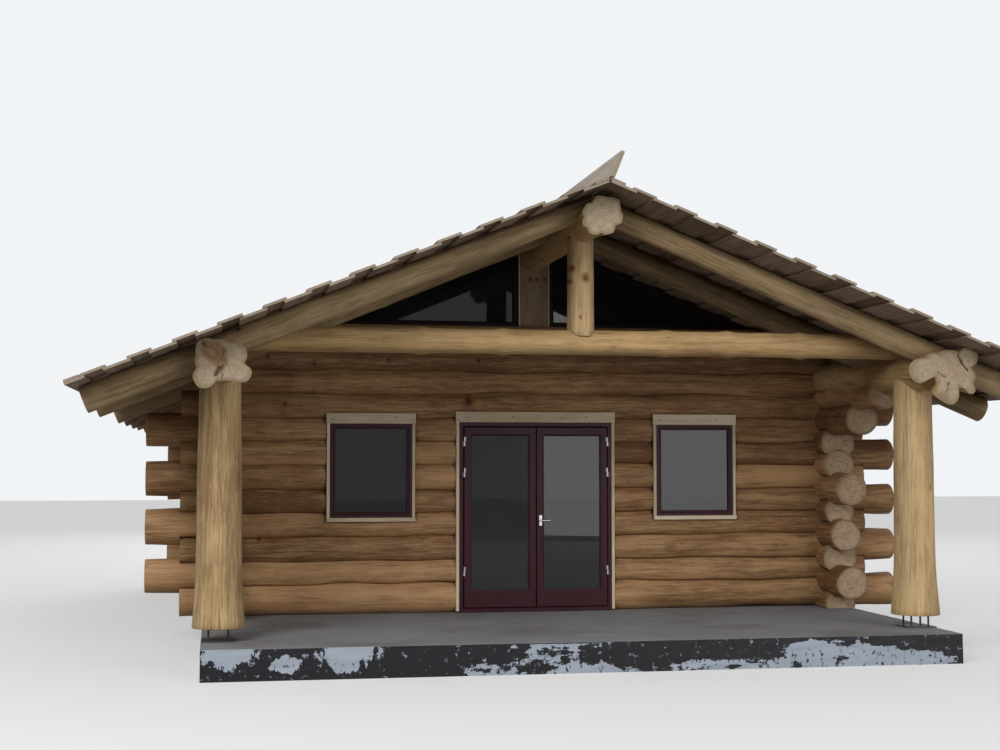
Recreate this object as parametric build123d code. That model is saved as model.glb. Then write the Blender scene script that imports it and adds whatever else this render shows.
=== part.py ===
from build123d import *
import os
from math import atan, cos, degrees, hypot, radians, sin, tan

# Log cabin of round scribed logs with a deep porch under one low-pitched roof.
# Millimetres. X runs along the front wall, -Y is the front, Z is up.
# The origin is on the ground, under the middle of the front wall.
# Heights are above the floor, which is the top of the foundation, unless the comment says otherwise.

# Plan of the log walls, measured between log centre lines
wall_x = 3620.0                # centre line of the house to a side wall
house_depth = 8000.0           # front wall to back wall
post_line = 2460.0             # front wall to the two porch posts

# Foundation
floor_z = 300.0                # its thickness: the floor above the ground
plinth_side_margin = 170.0     # side wall line to the foundation's side edge
plinth_front_margin = 720.0    # line of the posts to its front edge
plinth_back_margin = 190.0     # back wall line to its back edge

# Logs of the walls
course = 272.0                 # height gained by each log of a wall
log_r = 190.0                  # mean radius of a wall log
log_r_swing = 6.0              # how much the radius differs from log to log
log_sides = 12                 # flats that the drawknife leaves round a log
first_front = 185.0            # axis of the lowest front log
side_courses = 9               # whole logs of a side wall, on top of its first half log
gable_courses = 3              # further logs of the front and back walls
top_log_cut = 133.0            # flat top of the gable walls above the axis of their top log
scribe = 0.5                   # clearance left in every scribed joint
short_fly = 430.0              # log end beyond a corner, short one
long_fly = 810.0               # log end beyond a corner, long one
side_log_ends = [450.0, 800.0, 450.0, 630.0, 450.0, 820.0, 450.0, 420.0]   # front ends, from the floor up
corbel_ends = [1130.0, 1790.0]   # front ends of the two top logs, which step out under the plate

# Roof
pitch = 21.6                   # degrees
deck_t = 50.0                  # two layers of boards
eave_over = 1380.0             # side wall line to the eaves
rafter_in = 70.0               # eaves to a rafter's lower end
seat = 0.5                     # clearance between the boards and what carries them

# Ridge, plates and porch frame
plate_r = 200.0
plate_over_log = 203.0         # axis of a plate above the axis of the side wall's top log
deck_over_plate = 256.9        # underside of the boards above a plate's axis, on the side wall's line
ridge_r = 150.0
ridge_under_deck = 270.0       # axis of the ridge log below the underside of the boards
barge_out = 520.0              # line of the posts to the front pair of rafters
plate_out = 360.0              # front pair of rafters to the butts of the plates
ridge_out = 440.0              # the same to the butt of the ridge log
boards_out = 760.0             # the same to the front edge of the boards
butt_gap = 20.0                # between the swell of a butt and the front rafters
log_back = 1100.0              # ridge and plates beyond the back wall
boards_back = 1150.0           # boards beyond the back wall
back_barge = 820.0             # back wall to the last pair of rafters
rafter_top_r = 108.0           # rafters are laid with their thick ends down
rafter_foot_r = 134.0
porch_rafter_line = 1550.0     # front wall to the second pair
rafter_pitch = 1600.0          # spacing of the pairs inside the house
tie_over_plate = 250.0         # axis of the tie beam above the plates' axes
tie_r = 130.0
king_r = 138.0
king_lap = 60.0                # foot of the king post above the tie beam's axis
post_sides = 16
post_top_r = 200.0
post_waist_r = 222.0
post_ankle_r = 233.0
post_foot_r = 256.0
post_ankle_h = 200.0           # height of the sharper flare at the foot
post_flare = 440.0             # height of the whole flare
post_foot_z = 130.0            # underside of a post
post_lap = 90.0                # top of a post below the plate's axis, before it is scribed
foot_plate = 320.0
foot_plate_t = 12.0
rod_r = 10.0
rod_offset = 95.0
rods_into_post = 60.0

# Root lobes of the butts, each as x and z from the trunk's axis and radius
ridge_lobes = [(-20.0, 30.0, 165.0), (-100.0, -15.0, 118.0), (85.0, 10.0, 132.0),
               (-45.0, -105.0, 98.0), (60.0, -105.0, 92.0)]
plate_lobes = {
    -1: [(-20.0, 20.0, 185.0), (115.0, 100.0, 122.0), (148.0, -85.0, 102.0),
         (-85.0, -135.0, 106.0), (-118.0, 95.0, 110.0)],
    1: [(-130.0, 55.0, 118.0), (60.0, 0.0, 188.0), (165.0, -45.0, 108.0), (30.0, -155.0, 98.0),
        (165.0, 110.0, 80.0)],
}

# Ridge board, standing on edge square to the right slope
ridge_board_h = 270.0
ridge_board_t = 40.0
ridge_board_x = 20.0           # its foot, from the centre line

# Windows and door
window_w = 938.0
window_h = 1070.0
window_top = 2165.0            # above floor
window_x = 1918.0              # centre line of the house to a front window's centre
side_window_y = 4000.0         # front wall line to a side window's centre
frame_proud = 10.0             # outer face of the frames beyond the logs' mean radius
frame_depth = 90.0
frame_w = 62.0
glass_t = 24.0
trim_w = 36.0                  # narrow board each side of a frame
trim_t = 34.0
lintel_h = 122.0
lintel_over = 42.0             # lintel beyond the frame, each side
sill_h = 46.0
sill_t = 80.0
sill_out = 20.0                # sill beyond the face of the frame
fit = 3.0                      # clearance between a frame and the logs around it
settling_gap = 100.0           # left over a frame for the logs to settle, behind the lintel board
door_w = 1805.0
door_top = 2185.0
door_frame_w = 52.0
leaf_gap = 6.0                 # around the leaves
meeting_gap = 10.0             # between the two leaves
leaf_t = 68.0
leaf_stile = 88.0
leaf_top_rail = 100.0
leaf_bottom_rail = 200.0
leaf_proud = 8.0               # leaves stand this far out of the frame's face
hinge_r = 9.0
knuckle_h = 52.0               # each of a hinge's two knuckles
hinge_play = 0.3               # between the knuckles
hinge_wing = 30.0              # width of a hinge's plate
hinge_plate_t = 6.0
pin_r = 5.0
pin_play = 0.05
hinge_out = 12.0               # hinge axis in front of the leaf's face
hinge_zs = [420.0, 1555.0, 1910.0]
handle_z = 1050.0
rose_w = 32.0
rose_h = 120.0
rose_t = 8.0
lever_r = 9.0
lever_out = 45.0               # axis of the lever in front of the leaf
lever_l = 120.0
lever_root = 12.0              # lever beyond its neck, on the short side

# Gable
gable_post_w = 370.0
gable_post_t = 180.0
gable_frame_w = 60.0
gable_frame_t = 90.0

slope = tan(radians(pitch))
back = house_depth
front_courses = side_courses + gable_courses
front_z = [first_front + course * k for k in range(front_courses)]
side_z = [first_front + course * (k - 0.5) for k in range(side_courses + 1)]
wall_top = front_z[-1] + top_log_cut
plate_z = side_z[-1] + plate_over_log
deck_apex = plate_z + deck_over_plate + wall_x * slope   # underside of the boards on the centre line
ridge_z = deck_apex - ridge_under_deck
tie_z = plate_z + tie_over_plate
deck_half = wall_x + eave_over
rafter_half = deck_half - rafter_in
barge_line = post_line + barge_out
frame_face = log_r + frame_proud
reach = 4.0 * (deck_half + house_depth)   # long enough for a cut to go right through
os.makedirs("parts", exist_ok=True)
low = (Align.CENTER, Align.CENTER, Align.MIN)


def save(name, *solids):
    """One file for each node; a node's solids do not touch each other."""
    shape = solids[0] if len(solids) == 1 else Compound(children=list(solids))
    export_step(shape, f"parts/{name}.step")


def hewn(r, length, top_r=None, sides=log_sides):
    """Peeled log standing on the origin: drawknife flats r from its axis, and top_r at its upper end."""
    section = RegularPolygon(r, sides, major_radius=False, rotation=180.0 / sides)
    if top_r is None:
        return extrude(section, length)
    return extrude(section, length, taper=degrees(atan((r - top_r) / length)))


def x_log(x0, x1, y, z, r):
    """Log along X, z above floor."""
    return Pos(x0, y, floor_z + z) * Rot(0, 90, 0) * hewn(r, x1 - x0)


def y_log(y0, y1, x, z, r):
    """Log along Y, z above floor."""
    return Pos(x, y0, floor_z + z) * Rot(-90, 0, 0) * hewn(r, y1 - y0)


def block(x0, x1, y0, y1, z0, z1):
    """Box between two corners, z above floor."""
    size = Box(x1 - x0, y1 - y0, z1 - z0, align=(Align.MIN, Align.MIN, Align.MIN))
    return Pos(x0, y0, floor_z + z0) * size


def deck_under(x):
    """Height of the boards' underside at x."""
    return deck_apex - abs(x) * slope


def solids_of(shape, least=2e6):
    return [s for s in shape.solids() if s.volume > least]


def radius(k, turn):
    """Radius of log k: trunks differ a little, in no plain order."""
    return log_r + log_r_swing * cos(2.4 * k + turn)


front_r = [radius(k, 0.0) for k in range(front_courses)]
side_r = [radius(k, 1.3) for k in range(side_courses + 1)]


def side_front_end(k):
    """How far side log k runs out in front of the front wall."""
    corbel = k - (side_courses + 1 - len(corbel_ends))
    return corbel_ends[corbel] if corbel >= 0 else side_log_ends[k % len(side_log_ends)]


def along_y(y0, y1, *points):
    """Straight piece along Y with the outline given as x and height above floor."""
    face = Plane.XZ * Polygon(*points, align=None)
    return Pos(0, y0, floor_z) * extrude(face, y1 - y0, dir=(0, 1, 0))


# The space above the underside of the boards, which no wall log may enter
far_z = deck_under(reach) - seat
roof_space = along_y(-reach, reach, (0, deck_apex - seat), (reach, far_z), (reach, reach),
                     (-reach, reach), (-reach, far_z))
below_floor = block(-reach, reach, -reach, reach, -reach, 0)


def crossing_notch(along, c, z, r):
    """Saddle notch over a crossing log below: its round top and straight sides down."""
    drop = 1.5 * r
    if along == "x":
        return [y_log(-reach, reach, c, z, r + scribe),
                block(c - r - scribe, c + r + scribe, -reach, reach, z - drop, z)]
    return [x_log(-reach, reach, c, z, r + scribe),
            block(-reach, reach, c - r - scribe, c + r + scribe, z - drop, z)]


def opening(x, width, side_room, bottom, top):
    """Hole through a wall, and the flat cut for its lintel board: half width, bottom and top of each."""
    through = (x, width / 2 + side_room + fit, bottom, top + settling_gap)
    seat_cut = (x, width / 2 + lintel_over + fit, top, top + lintel_h + fit)
    return through, seat_cut


def wall_cuts(openings, y, z, r, outward):
    """Blocks that cut a log of a wall along X for its openings; outward is -1 for the front wall."""
    cuts = []
    face = sorted((y + outward * (frame_face - trim_t - fit), y + outward * 2 * r))
    for through, seat_cut in openings:
        for (x, half, bottom, top), (y0, y1) in ((through, (y - 2 * r, y + 2 * r)), (seat_cut, face)):
            if z + r > bottom and z - r < top:
                cuts.append(block(x - half, x + half, y0, y1, bottom, top))
    return cuts


def window_opening(x):
    return opening(x, window_w, trim_w, window_top - window_h - sill_h, window_top)


plate_cut = [y_log(-reach, reach, s * wall_x, plate_z, plate_r + scribe) for s in (-1, 1)]


def gable_wall(y, openings, outward, flip):
    """Logs of the front or back wall, as one list of solids for each course."""
    courses = []
    for k in range(front_courses):
        z, r = front_z[k], front_r[k]
        longer = (k + flip) % 2 == 1
        left = wall_x + (long_fly if longer else short_fly)
        right = wall_x + (short_fly if longer else long_fly)
        if k > side_courses - 1:
            left = right = wall_x
        log = x_log(-left, right, y, z, r)
        cuts = []
        for j in range(side_courses + 1):
            if 0 < z - side_z[j] < r + side_r[j] and k < side_courses + 1:
                for s in (-1, 1):
                    cuts += crossing_notch("x", s * wall_x, side_z[j], side_r[j])
        if k:
            below = front_courses if k > side_courses - 1 else k
            reach_left, reach_right = -left, right
            if below == k:
                reach_left = -wall_x - (short_fly if longer else long_fly)
                reach_right = wall_x + (long_fly if longer else short_fly)
            cuts.append(x_log(reach_left, reach_right, y, front_z[k - 1], front_r[k - 1] + scribe))
        if k == 0:
            cuts.append(below_floor)
        if k > side_courses - 1:
            cuts += plate_cut
        if k > side_courses:
            cuts.append(roof_space)
        if k == front_courses - 1:
            cuts.append(block(-reach, reach, -reach, reach, wall_top, reach))
        cuts += wall_cuts(openings, y, z, r, outward)
        courses.append(solids_of(log - cuts))
    return courses


def side_wall(s, openings):
    """Logs of the left (-1) or right (1) wall, as one list of solids for each course."""
    courses = []
    for k in range(side_courses + 1):
        z, r = side_z[k], side_r[k]
        y0 = -side_front_end(k)
        y1 = back + (long_fly if k % 2 == 0 else short_fly)
        log = y_log(y0, y1, s * wall_x, z, r)
        cuts = []
        for j in range(front_courses):
            if 0 < z - front_z[j] < r + front_r[j]:
                for y in (0.0, back):
                    cuts += crossing_notch("y", y, front_z[j], front_r[j])
        if k:
            below_end = back + (short_fly if k % 2 == 0 else long_fly)
            cuts.append(y_log(-side_front_end(k - 1), below_end, s * wall_x, side_z[k - 1],
                              side_r[k - 1] + scribe))
        if k == 0:
            cuts.append(below_floor)
        cuts += [Rot(0, 0, 90) * c for c in wall_cuts(openings, -s * wall_x, z, r, -s)]
        courses.append(solids_of(log - cuts))
    return courses


def save_courses(name, courses):
    """Alternate courses go to two nodes, so that no two solids of a node touch."""
    for start, word in ((0, "even"), (1, "odd")):
        solids = [s for group in courses[start::2] for s in group]
        save(f"{name}_{word}_logs", *solids)


door_opening = opening(0.0, door_w, 0.0, -floor_z, door_top)
back_openings = [window_opening(-window_x), window_opening(window_x)]
front_openings = back_openings + [door_opening]
side_openings = [window_opening(side_window_y)]

plinth_side = wall_x + plinth_side_margin
save("foundation", block(-plinth_side, plinth_side, -post_line - plinth_front_margin,
                         back + plinth_back_margin, -floor_z, 0))
save_courses("front_wall", gable_wall(0.0, front_openings, -1, 0))
save_courses("back_wall", gable_wall(back, back_openings, 1, 1))
save_courses("left_wall", side_wall(-1, side_openings))
save_courses("right_wall", side_wall(1, side_openings))


# Rafters, ridge log and eave plates
def rafter_pole(s, y, room=0.0):
    """Tapered pole under the boards of side s, with its top flat along them and its foot cut square."""
    length = rafter_half / cos(radians(pitch))
    grow = degrees(atan((rafter_foot_r - rafter_top_r) / length))
    foot_x = s * (rafter_half - rafter_foot_r * sin(radians(pitch)))
    foot_z = deck_under(rafter_half) - seat - rafter_foot_r * cos(radians(pitch))
    pole = hewn(rafter_foot_r + room, length, rafter_top_r + room)
    return Pos(foot_x, y, floor_z + foot_z) * Rot(0, -s * (90 - pitch - grow), 0) * pole


def rafter(s, y):
    """Round rafter from the ridge to the eaves, scribed over the ridge and the side wall's top log."""
    room = 2 * rafter_foot_r
    x0, x1 = sorted((s * 2 * seat, s * deck_half))
    top_log = y_log(-corbel_ends[-1], back + short_fly, s * wall_x, side_z[-1], side_r[-1] + scribe)
    pole = rafter_pole(s, y) & block(x0, x1, y - room, y + room, 0, reach)
    return solids_of(pole - [ridge_cut, top_log])


inner_pairs = [-porch_rafter_line]
y = rafter_pitch
while y < back - rafter_pitch / 2:
    inner_pairs.append(y)
    y += rafter_pitch
pair_lines = [-barge_line] + inner_pairs + [back + back_barge]


def trunk(x, z, r, out, lobes):
    """Whole trunk along Y, laid with its root forward: lobes swell from its round to the sawn butt."""
    y0 = -barge_line - out
    room = out - rafter_foot_r - butt_gap
    log = y_log(y0, back + log_back, x, z, r)
    for dx, dz, lobe_r in lobes:
        inner_r = max(r - hypot(dx, dz), 0.1 * r)
        log += Pos(x + dx, y0, floor_z + z + dz) * Rot(-90, 0, 0) * hewn(lobe_r, room, min(inner_r, lobe_r))
    return log


ridge_cut = y_log(-reach, reach, 0, ridge_z, ridge_r + scribe)
save("ridge_log", *solids_of(trunk(0, ridge_z, ridge_r, ridge_out, ridge_lobes) - roof_space))


def slot_for_rafter(s, y):
    """Open slot in a plate for a rafter: the rafter's round, and straight up from it."""
    r = rafter_top_r + (rafter_foot_r - rafter_top_r) * (wall_x + 2 * plate_r) / rafter_half
    across = r + scribe
    axis_z = deck_apex - seat - r / cos(radians(pitch))
    above = along_y(y - across, y + across, (0, axis_z), (s * reach, axis_z - reach * slope),
                    (s * reach, reach), (0, reach))
    return [rafter_pole(s, y, scribe), above]


for s, side in ((-1, "left"), (1, "right")):
    cuts = [y_log(-corbel_ends[-1], back + short_fly, s * wall_x, side_z[-1], side_r[-1] + scribe)]
    for y in (0.0, back):
        cuts += crossing_notch("y", y, front_z[side_courses - 1], front_r[side_courses - 1])
    for y in pair_lines:
        cuts += slot_for_rafter(s, y)
    plate = trunk(s * wall_x, plate_z, plate_r, plate_out, plate_lobes[s])
    save(f"eave_plate_{side}", *solids_of(plate - cuts - [roof_space]))
    save(f"front_rafter_{side}", *rafter(s, -barge_line))
    save(f"rafters_{side}", *[p for y in pair_lines[1:] for p in rafter(s, y)])

# Tie beam, king post and porch posts
tie = x_log(-wall_x, wall_x, -post_line, tie_z, tie_r) - plate_cut - [roof_space]
tie = max(tie.solids(), key=lambda q: q.volume)
save("tie_beam", tie)
king_low = tie_z + king_lap
king = Pos(0, -post_line, floor_z + king_low) * hewn(king_r, ridge_z - king_low)
king = king - [x_log(-wall_x, wall_x, -post_line, tie_z, tie_r + scribe), ridge_cut]
save("king_post", *solids_of(king))

post_h = plate_z - post_lap - post_foot_z
post_body = hewn(post_foot_r, post_ankle_h, post_ankle_r, post_sides)
calf_h = post_flare - post_ankle_h
post_body += Pos(0, 0, post_ankle_h) * hewn(post_ankle_r, calf_h, post_waist_r, post_sides)
post_body += Pos(0, 0, post_flare) * hewn(post_waist_r, post_h - post_flare, post_top_r, post_sides)
rod_places = [(a * rod_offset, b * rod_offset) for a in (-1, 1) for b in (-1, 1)]
for s, side in ((-1, "left"), (1, "right")):
    spot = Pos(s * wall_x, -post_line, floor_z)
    bores = [spot * Pos(a, b, post_foot_z) * Cylinder(rod_r + scribe, rods_into_post + scribe, align=low)
             for a, b in rod_places]
    post = Pos(s * wall_x, -post_line, floor_z + post_foot_z) * post_body
    post = post - (plate_cut + bores)
    save(f"porch_post_{side}", *solids_of(post))
    foot = spot * Box(foot_plate, foot_plate, foot_plate_t, align=low)
    for a, b in rod_places:
        foot += spot * Pos(a, b, 0) * Cylinder(rod_r, post_foot_z + rods_into_post, align=low)
    save(f"post_foot_{side}", foot)


# Roof boards as two plain slabs, and the board on edge along the ridge
def deck(s):
    inner = s * seat
    top = deck_t / cos(radians(pitch))
    return along_y(-barge_line - boards_out, back + boards_back, (inner, deck_under(inner)),
                   (s * deck_half, deck_under(deck_half)), (s * deck_half, deck_under(deck_half) + top),
                   (inner, deck_under(inner) + top))


save("roof_boards_left", deck(-1))
save("roof_boards_right", deck(1))
board_z = floor_z + deck_under(ridge_board_x) + deck_t / cos(radians(pitch)) + seat
board = Box(ridge_board_t, barge_line + boards_out + back + boards_back, ridge_board_h,
            align=(Align.CENTER, Align.MIN, Align.MIN))
save("ridge_board", Pos(ridge_board_x, -barge_line - boards_out, board_z) * Rot(0, pitch, 0) * board)


# Gables: squared post in the middle, glass each side up to the boards
def gable_outline(s, inset):
    x0 = gable_post_w / 2 + seat + inset
    bottom = wall_top + seat + inset
    lift = inset / cos(radians(pitch)) + 2 * seat
    x1 = (deck_apex - lift - bottom) / slope
    return (s * x0, bottom), (s * x1, bottom), (s * x0, deck_apex - lift - x0 * slope)


def gable_piece(y, t, outline):
    return along_y(y - t / 2, y + t / 2, *outline)


for y, name in ((0.0, "front"), (back, "back")):
    post = block(-gable_post_w / 2, gable_post_w / 2, y - gable_post_t / 2, y + gable_post_t / 2,
                 wall_top + seat, deck_apex)
    post = post - [roof_space, ridge_cut]
    save(f"gable_post_{name}", *solids_of(post))
    frames = []
    panes = []
    for s in (-1, 1):
        ring = gable_piece(y, gable_frame_t, gable_outline(s, 0.0)) - [
            gable_piece(y, 2 * gable_frame_t, gable_outline(s, gable_frame_w)), ridge_cut]
        frames += solids_of(ring, 1e5)
        pane = gable_piece(y, glass_t, gable_outline(s, gable_frame_w + scribe)) - [ridge_cut]
        panes += solids_of(pane, 1e5)
    save(f"gable_frame_{name}", *frames)
    save(f"gable_glass_{name}", *panes)


# Windows: frame, pane, side strips, lintel and sill boards, made once facing the front
def ring(w, h, bar, depth, z):
    outer = Pos(0, 0, z) * Box(w, depth, h, align=low)
    return outer - Pos(0, 0, z + bar) * Box(w - 2 * bar, 2 * depth, h - 2 * bar, align=low)


window_z = floor_z + window_top - window_h
frame_y = -frame_face + frame_depth / 2
window_frame = Pos(0, frame_y, 0) * ring(window_w, window_h, frame_w, frame_depth, window_z)
window_glass = Pos(0, frame_y, window_z + frame_w + scribe) * Box(
    window_w - 2 * frame_w - 2 * scribe, glass_t, window_h - 2 * frame_w - 2 * scribe, align=low)
strip_x = window_w / 2 + trim_w / 2 + scribe
window_strips = [Pos(s * strip_x, -frame_face + trim_t / 2, window_z) * Box(
    trim_w - 2 * scribe, trim_t, window_h, align=low) for s in (-1, 1)]
lintel_y = -frame_face + trim_t / 2


def lintel(width, z):
    board = Box(width + 2 * lintel_over, trim_t, lintel_h, align=low)
    return Pos(0, lintel_y, floor_z + z + scribe) * board


window_lintel = lintel(window_w, window_top)
window_sill = Pos(0, -frame_face + sill_t / 2 - sill_out, window_z - sill_h) * Box(
    window_w + 2 * trim_w, sill_t, sill_h - scribe, align=low)

walls = {
    "front": [Pos(x, 0, 0) for x in (-window_x, window_x)],
    "back": [Pos(x, back, 0) * Rot(0, 0, 180) for x in (-window_x, window_x)],
    "left": [Pos(-wall_x, side_window_y, 0) * Rot(0, 0, -90)],
    "right": [Pos(wall_x, side_window_y, 0) * Rot(0, 0, 90)],
}
for name, places in walls.items():
    save(f"{name}_window_frames", *[p * window_frame for p in places])
    save(f"{name}_window_glass", *[p * window_glass for p in places])
    trim = [p * q for p in places for q in window_strips + [window_lintel, window_sill]]
    if name == "front":
        trim.append(lintel(door_w, door_top))
    save(f"{name}_opening_trim", *trim)

# Door: frame with threshold, and two leaves that open outwards
door_frame = Pos(0, frame_y, 0) * ring(door_w, door_top, door_frame_w, frame_depth, floor_z)
save("door_frame", door_frame)
leaf_z = door_frame_w + leaf_gap
leaf_h = door_top - door_frame_w - leaf_gap - leaf_z
leaf_side = door_w / 2 - door_frame_w - leaf_gap
leaf_w = leaf_side - meeting_gap / 2
leaf_face = frame_face + leaf_proud
leaf_y = -leaf_face + leaf_t / 2
hinge_y = -leaf_face - hinge_out
frame_knuckles = []
for s, side in ((-1, "left"), (1, "right")):
    middle = s * (meeting_gap / 2 + leaf_w / 2)
    x0, x1 = middle - leaf_w / 2, middle + leaf_w / 2
    y0, y1 = -leaf_face, -leaf_face + leaf_t
    pane_hole = block(x0 + leaf_stile, x1 - leaf_stile, y0 - leaf_t, y1 + leaf_t,
                      leaf_z + leaf_bottom_rail, leaf_z + leaf_h - leaf_top_rail)
    save(f"door_leaf_{side}", block(x0, x1, y0, y1, leaf_z, leaf_z + leaf_h) - pane_hole)
    pane = block(x0 + leaf_stile + scribe, x1 - leaf_stile - scribe,
                 leaf_y - glass_t / 2, leaf_y + glass_t / 2,
                 leaf_z + leaf_bottom_rail + scribe, leaf_z + leaf_h - leaf_top_rail - scribe)
    save(f"door_glass_{side}", pane)
    leaf_knuckles = []
    for z in hinge_zs:
        spot = Pos(s * leaf_side, hinge_y, floor_z + z)
        wing = sorted((s * leaf_side, s * (leaf_side + hinge_wing)))
        fixed = spot * Cylinder(hinge_r, knuckle_h, align=low)
        fixed += spot * Cylinder(pin_r, 2 * knuckle_h - 2 * hinge_play, align=low)
        fixed += block(*wing, hinge_y - hinge_plate_t / 2, -frame_face, z, z + knuckle_h)
        frame_knuckles.append(fixed)
        spot = spot * Pos(0, 0, knuckle_h + hinge_play)
        wing = sorted((s * leaf_side, s * (leaf_side - hinge_wing)))
        z_leaf = z + knuckle_h + hinge_play
        moving = spot * Cylinder(hinge_r, knuckle_h, align=low)
        moving += block(*wing, hinge_y - hinge_plate_t / 2, -leaf_face, z_leaf, z_leaf + knuckle_h)
        moving = moving - spot * Cylinder(pin_r + pin_play, knuckle_h, align=low)
        leaf_knuckles.append(moving)
    save(f"door_hinges_{side}", *leaf_knuckles)
save("door_hinge_pins", *frame_knuckles)
handle_x = meeting_gap / 2 + leaf_stile / 2
rose = block(handle_x - rose_w / 2, handle_x + rose_w / 2, -leaf_face - rose_t, -leaf_face,
             handle_z - rose_h / 2, handle_z + rose_h / 2)
spot = Pos(handle_x, -leaf_face, floor_z + handle_z)
neck = spot * Rot(90, 0, 0) * Cylinder(lever_r, lever_out, align=low)
lever = spot * Pos(-lever_root, -lever_out, 0) * Rot(0, 90, 0) * Cylinder(lever_r, lever_l, align=low)
save("door_handle", rose + neck + lever)
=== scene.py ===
# %% [markdown]
# A cabin of peeled round logs. The CAD model fixes where every log, board and frame is; this file gives
# each of them its natural surface. A log is not a cylinder: it tapers, swells at its knots, was scribed to
# sit over the log below, and ends in a sawn face with rings. So each log is worked out again here as a
# surface of two parameters, around and along, on the axis that its solid already has.

# %% Load the frame
import math
import bpy
import numpy as np
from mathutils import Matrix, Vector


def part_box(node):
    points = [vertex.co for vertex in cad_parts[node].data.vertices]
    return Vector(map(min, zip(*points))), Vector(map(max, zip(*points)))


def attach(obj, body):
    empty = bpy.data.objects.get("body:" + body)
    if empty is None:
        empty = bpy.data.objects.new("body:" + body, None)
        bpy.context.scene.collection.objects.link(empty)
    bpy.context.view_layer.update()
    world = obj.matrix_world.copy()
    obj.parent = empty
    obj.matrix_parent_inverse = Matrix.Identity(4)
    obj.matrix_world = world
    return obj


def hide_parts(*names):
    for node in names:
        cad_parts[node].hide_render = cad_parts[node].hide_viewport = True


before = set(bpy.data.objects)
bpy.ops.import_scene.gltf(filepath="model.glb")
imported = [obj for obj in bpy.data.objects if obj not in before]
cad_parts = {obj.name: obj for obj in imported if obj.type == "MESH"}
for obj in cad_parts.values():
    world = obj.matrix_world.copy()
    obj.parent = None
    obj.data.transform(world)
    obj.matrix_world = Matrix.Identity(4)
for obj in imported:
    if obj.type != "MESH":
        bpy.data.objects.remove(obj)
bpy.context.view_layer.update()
rng = np.random.default_rng(11)
print("frame loaded,", len(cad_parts), "nodes")

# %% [markdown]
# Many nodes hold several solids, such as every other log of a wall. Their loose triangles are grouped
# again by the corners they share, which gives the points of each solid by itself. The smallest corner
# number of a group is passed from triangle to triangle until nothing changes.


# %% Solids of a node
def solids_of(node):
    """Points of each separate solid of a node, as a list of arrays."""
    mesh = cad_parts[node].data
    co = np.empty(len(mesh.vertices) * 3)
    mesh.vertices.foreach_get("co", co)
    corners, which = np.unique(np.round(co.reshape(-1, 3), 4), axis=0, return_inverse=True)
    loops = np.empty(len(mesh.loops), int)
    mesh.loops.foreach_get("vertex_index", loops)
    tris = which.reshape(-1)[loops].reshape(-1, 3)
    label = np.arange(len(corners))
    while True:
        least_label = label[tris].min(axis=1)
        new = label.copy()
        for k in range(3):
            np.minimum.at(new, tris[:, k], least_label)
        new = new[new]
        if (new == label).all():
            break
        label = new
    return [corners[label == g] for g in np.unique(label)]


def span(points):
    return points.min(axis=0), points.max(axis=0)


def spans_of(node):
    """Lowest and highest corner of each separate solid of a node."""
    return [span(points) for points in solids_of(node)]


print("solids in one wall node:", len(solids_of("front_wall_even_logs")))

# %% [markdown]
# The main sizes come from the frame: the roof plane from the boards' slabs, and the floor from the top of
# the foundation.

# %% Roof plane and floor
slab = solids_of("roof_boards_right")[0]
slab_lo, slab_hi = span(slab)
deck_apex = slab[slab[:, 0] < slab_lo[0] + 0.001][:, 2].min()
deck_eave_x = slab_hi[0]
deck_slope = (deck_apex - slab_lo[2]) / (deck_eave_x - slab_lo[0])
deck_y0, deck_y1 = slab_lo[1], slab_hi[1]
deck_thick = (slab_hi[2] - deck_apex) * (1.0 / math.hypot(1.0, deck_slope))
pitch_angle = math.atan(deck_slope)
floor_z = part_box("foundation")[1].z
SIDES = ((-1, "left"), (1, "right"))


def deck_under(x):
    """Height of the underside of the roof boards at x."""
    return deck_apex - np.abs(x) * deck_slope


def slope_axes(sign):
    """Directions down the roof and square to it, on the left (-1) or right (1)."""
    down = np.array((sign * math.cos(pitch_angle), 0.0, -math.sin(pitch_angle)))
    return down, np.array((sign * math.sin(pitch_angle), 0.0, math.cos(pitch_angle)))


print("floor at", round(floor_z, 3), "m, roof pitch", round(math.degrees(pitch_angle), 1), "degrees")

# %% [markdown]
# The camera stands where the photograph was taken from, left of the middle and far back, and is turned
# a little to the right. It needs no shift. Soft light from large lamps keeps colours as they are written.

# %% Camera and lamps
IMAGE_W, FOCAL_PX, SENSOR = 1000.0, 1556.0, 36.0
EYE_X, EYE_Y, EYE_HEIGHT = -3.652, -17.936, 1.778
TILT_UP, TURN_RIGHT = 3.037, 10.306
camera_data = bpy.data.cameras.new("camera")
camera_data.sensor_width = SENSOR
camera_data.lens = FOCAL_PX / IMAGE_W * SENSOR
camera_data.clip_end = 200.0
camera = bpy.data.objects.new("camera", camera_data)
camera.location = (EYE_X, EYE_Y, floor_z + EYE_HEIGHT)
camera.rotation_euler = (math.radians(90.0 + TILT_UP), 0.0, math.radians(-TURN_RIGHT))
bpy.context.scene.collection.objects.link(camera)
bpy.context.scene.camera = camera
bpy.context.scene.view_settings.view_transform = "Standard"


def lamp(name, size, power, place, target):
    """Square area lamp at place, facing target."""
    data = bpy.data.lights.new(name, "AREA")
    data.size = size
    data.energy = power
    obj = bpy.data.objects.new(name, data)
    obj.location = place
    to = np.array(target) - np.array(place)
    flat = math.hypot(to[0], to[1])
    obj.rotation_euler = (math.pi / 2 - math.atan2(-to[2], flat), 0.0, math.atan2(to[1], to[0]) - math.pi / 2)
    bpy.context.scene.collection.objects.link(obj)


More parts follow.
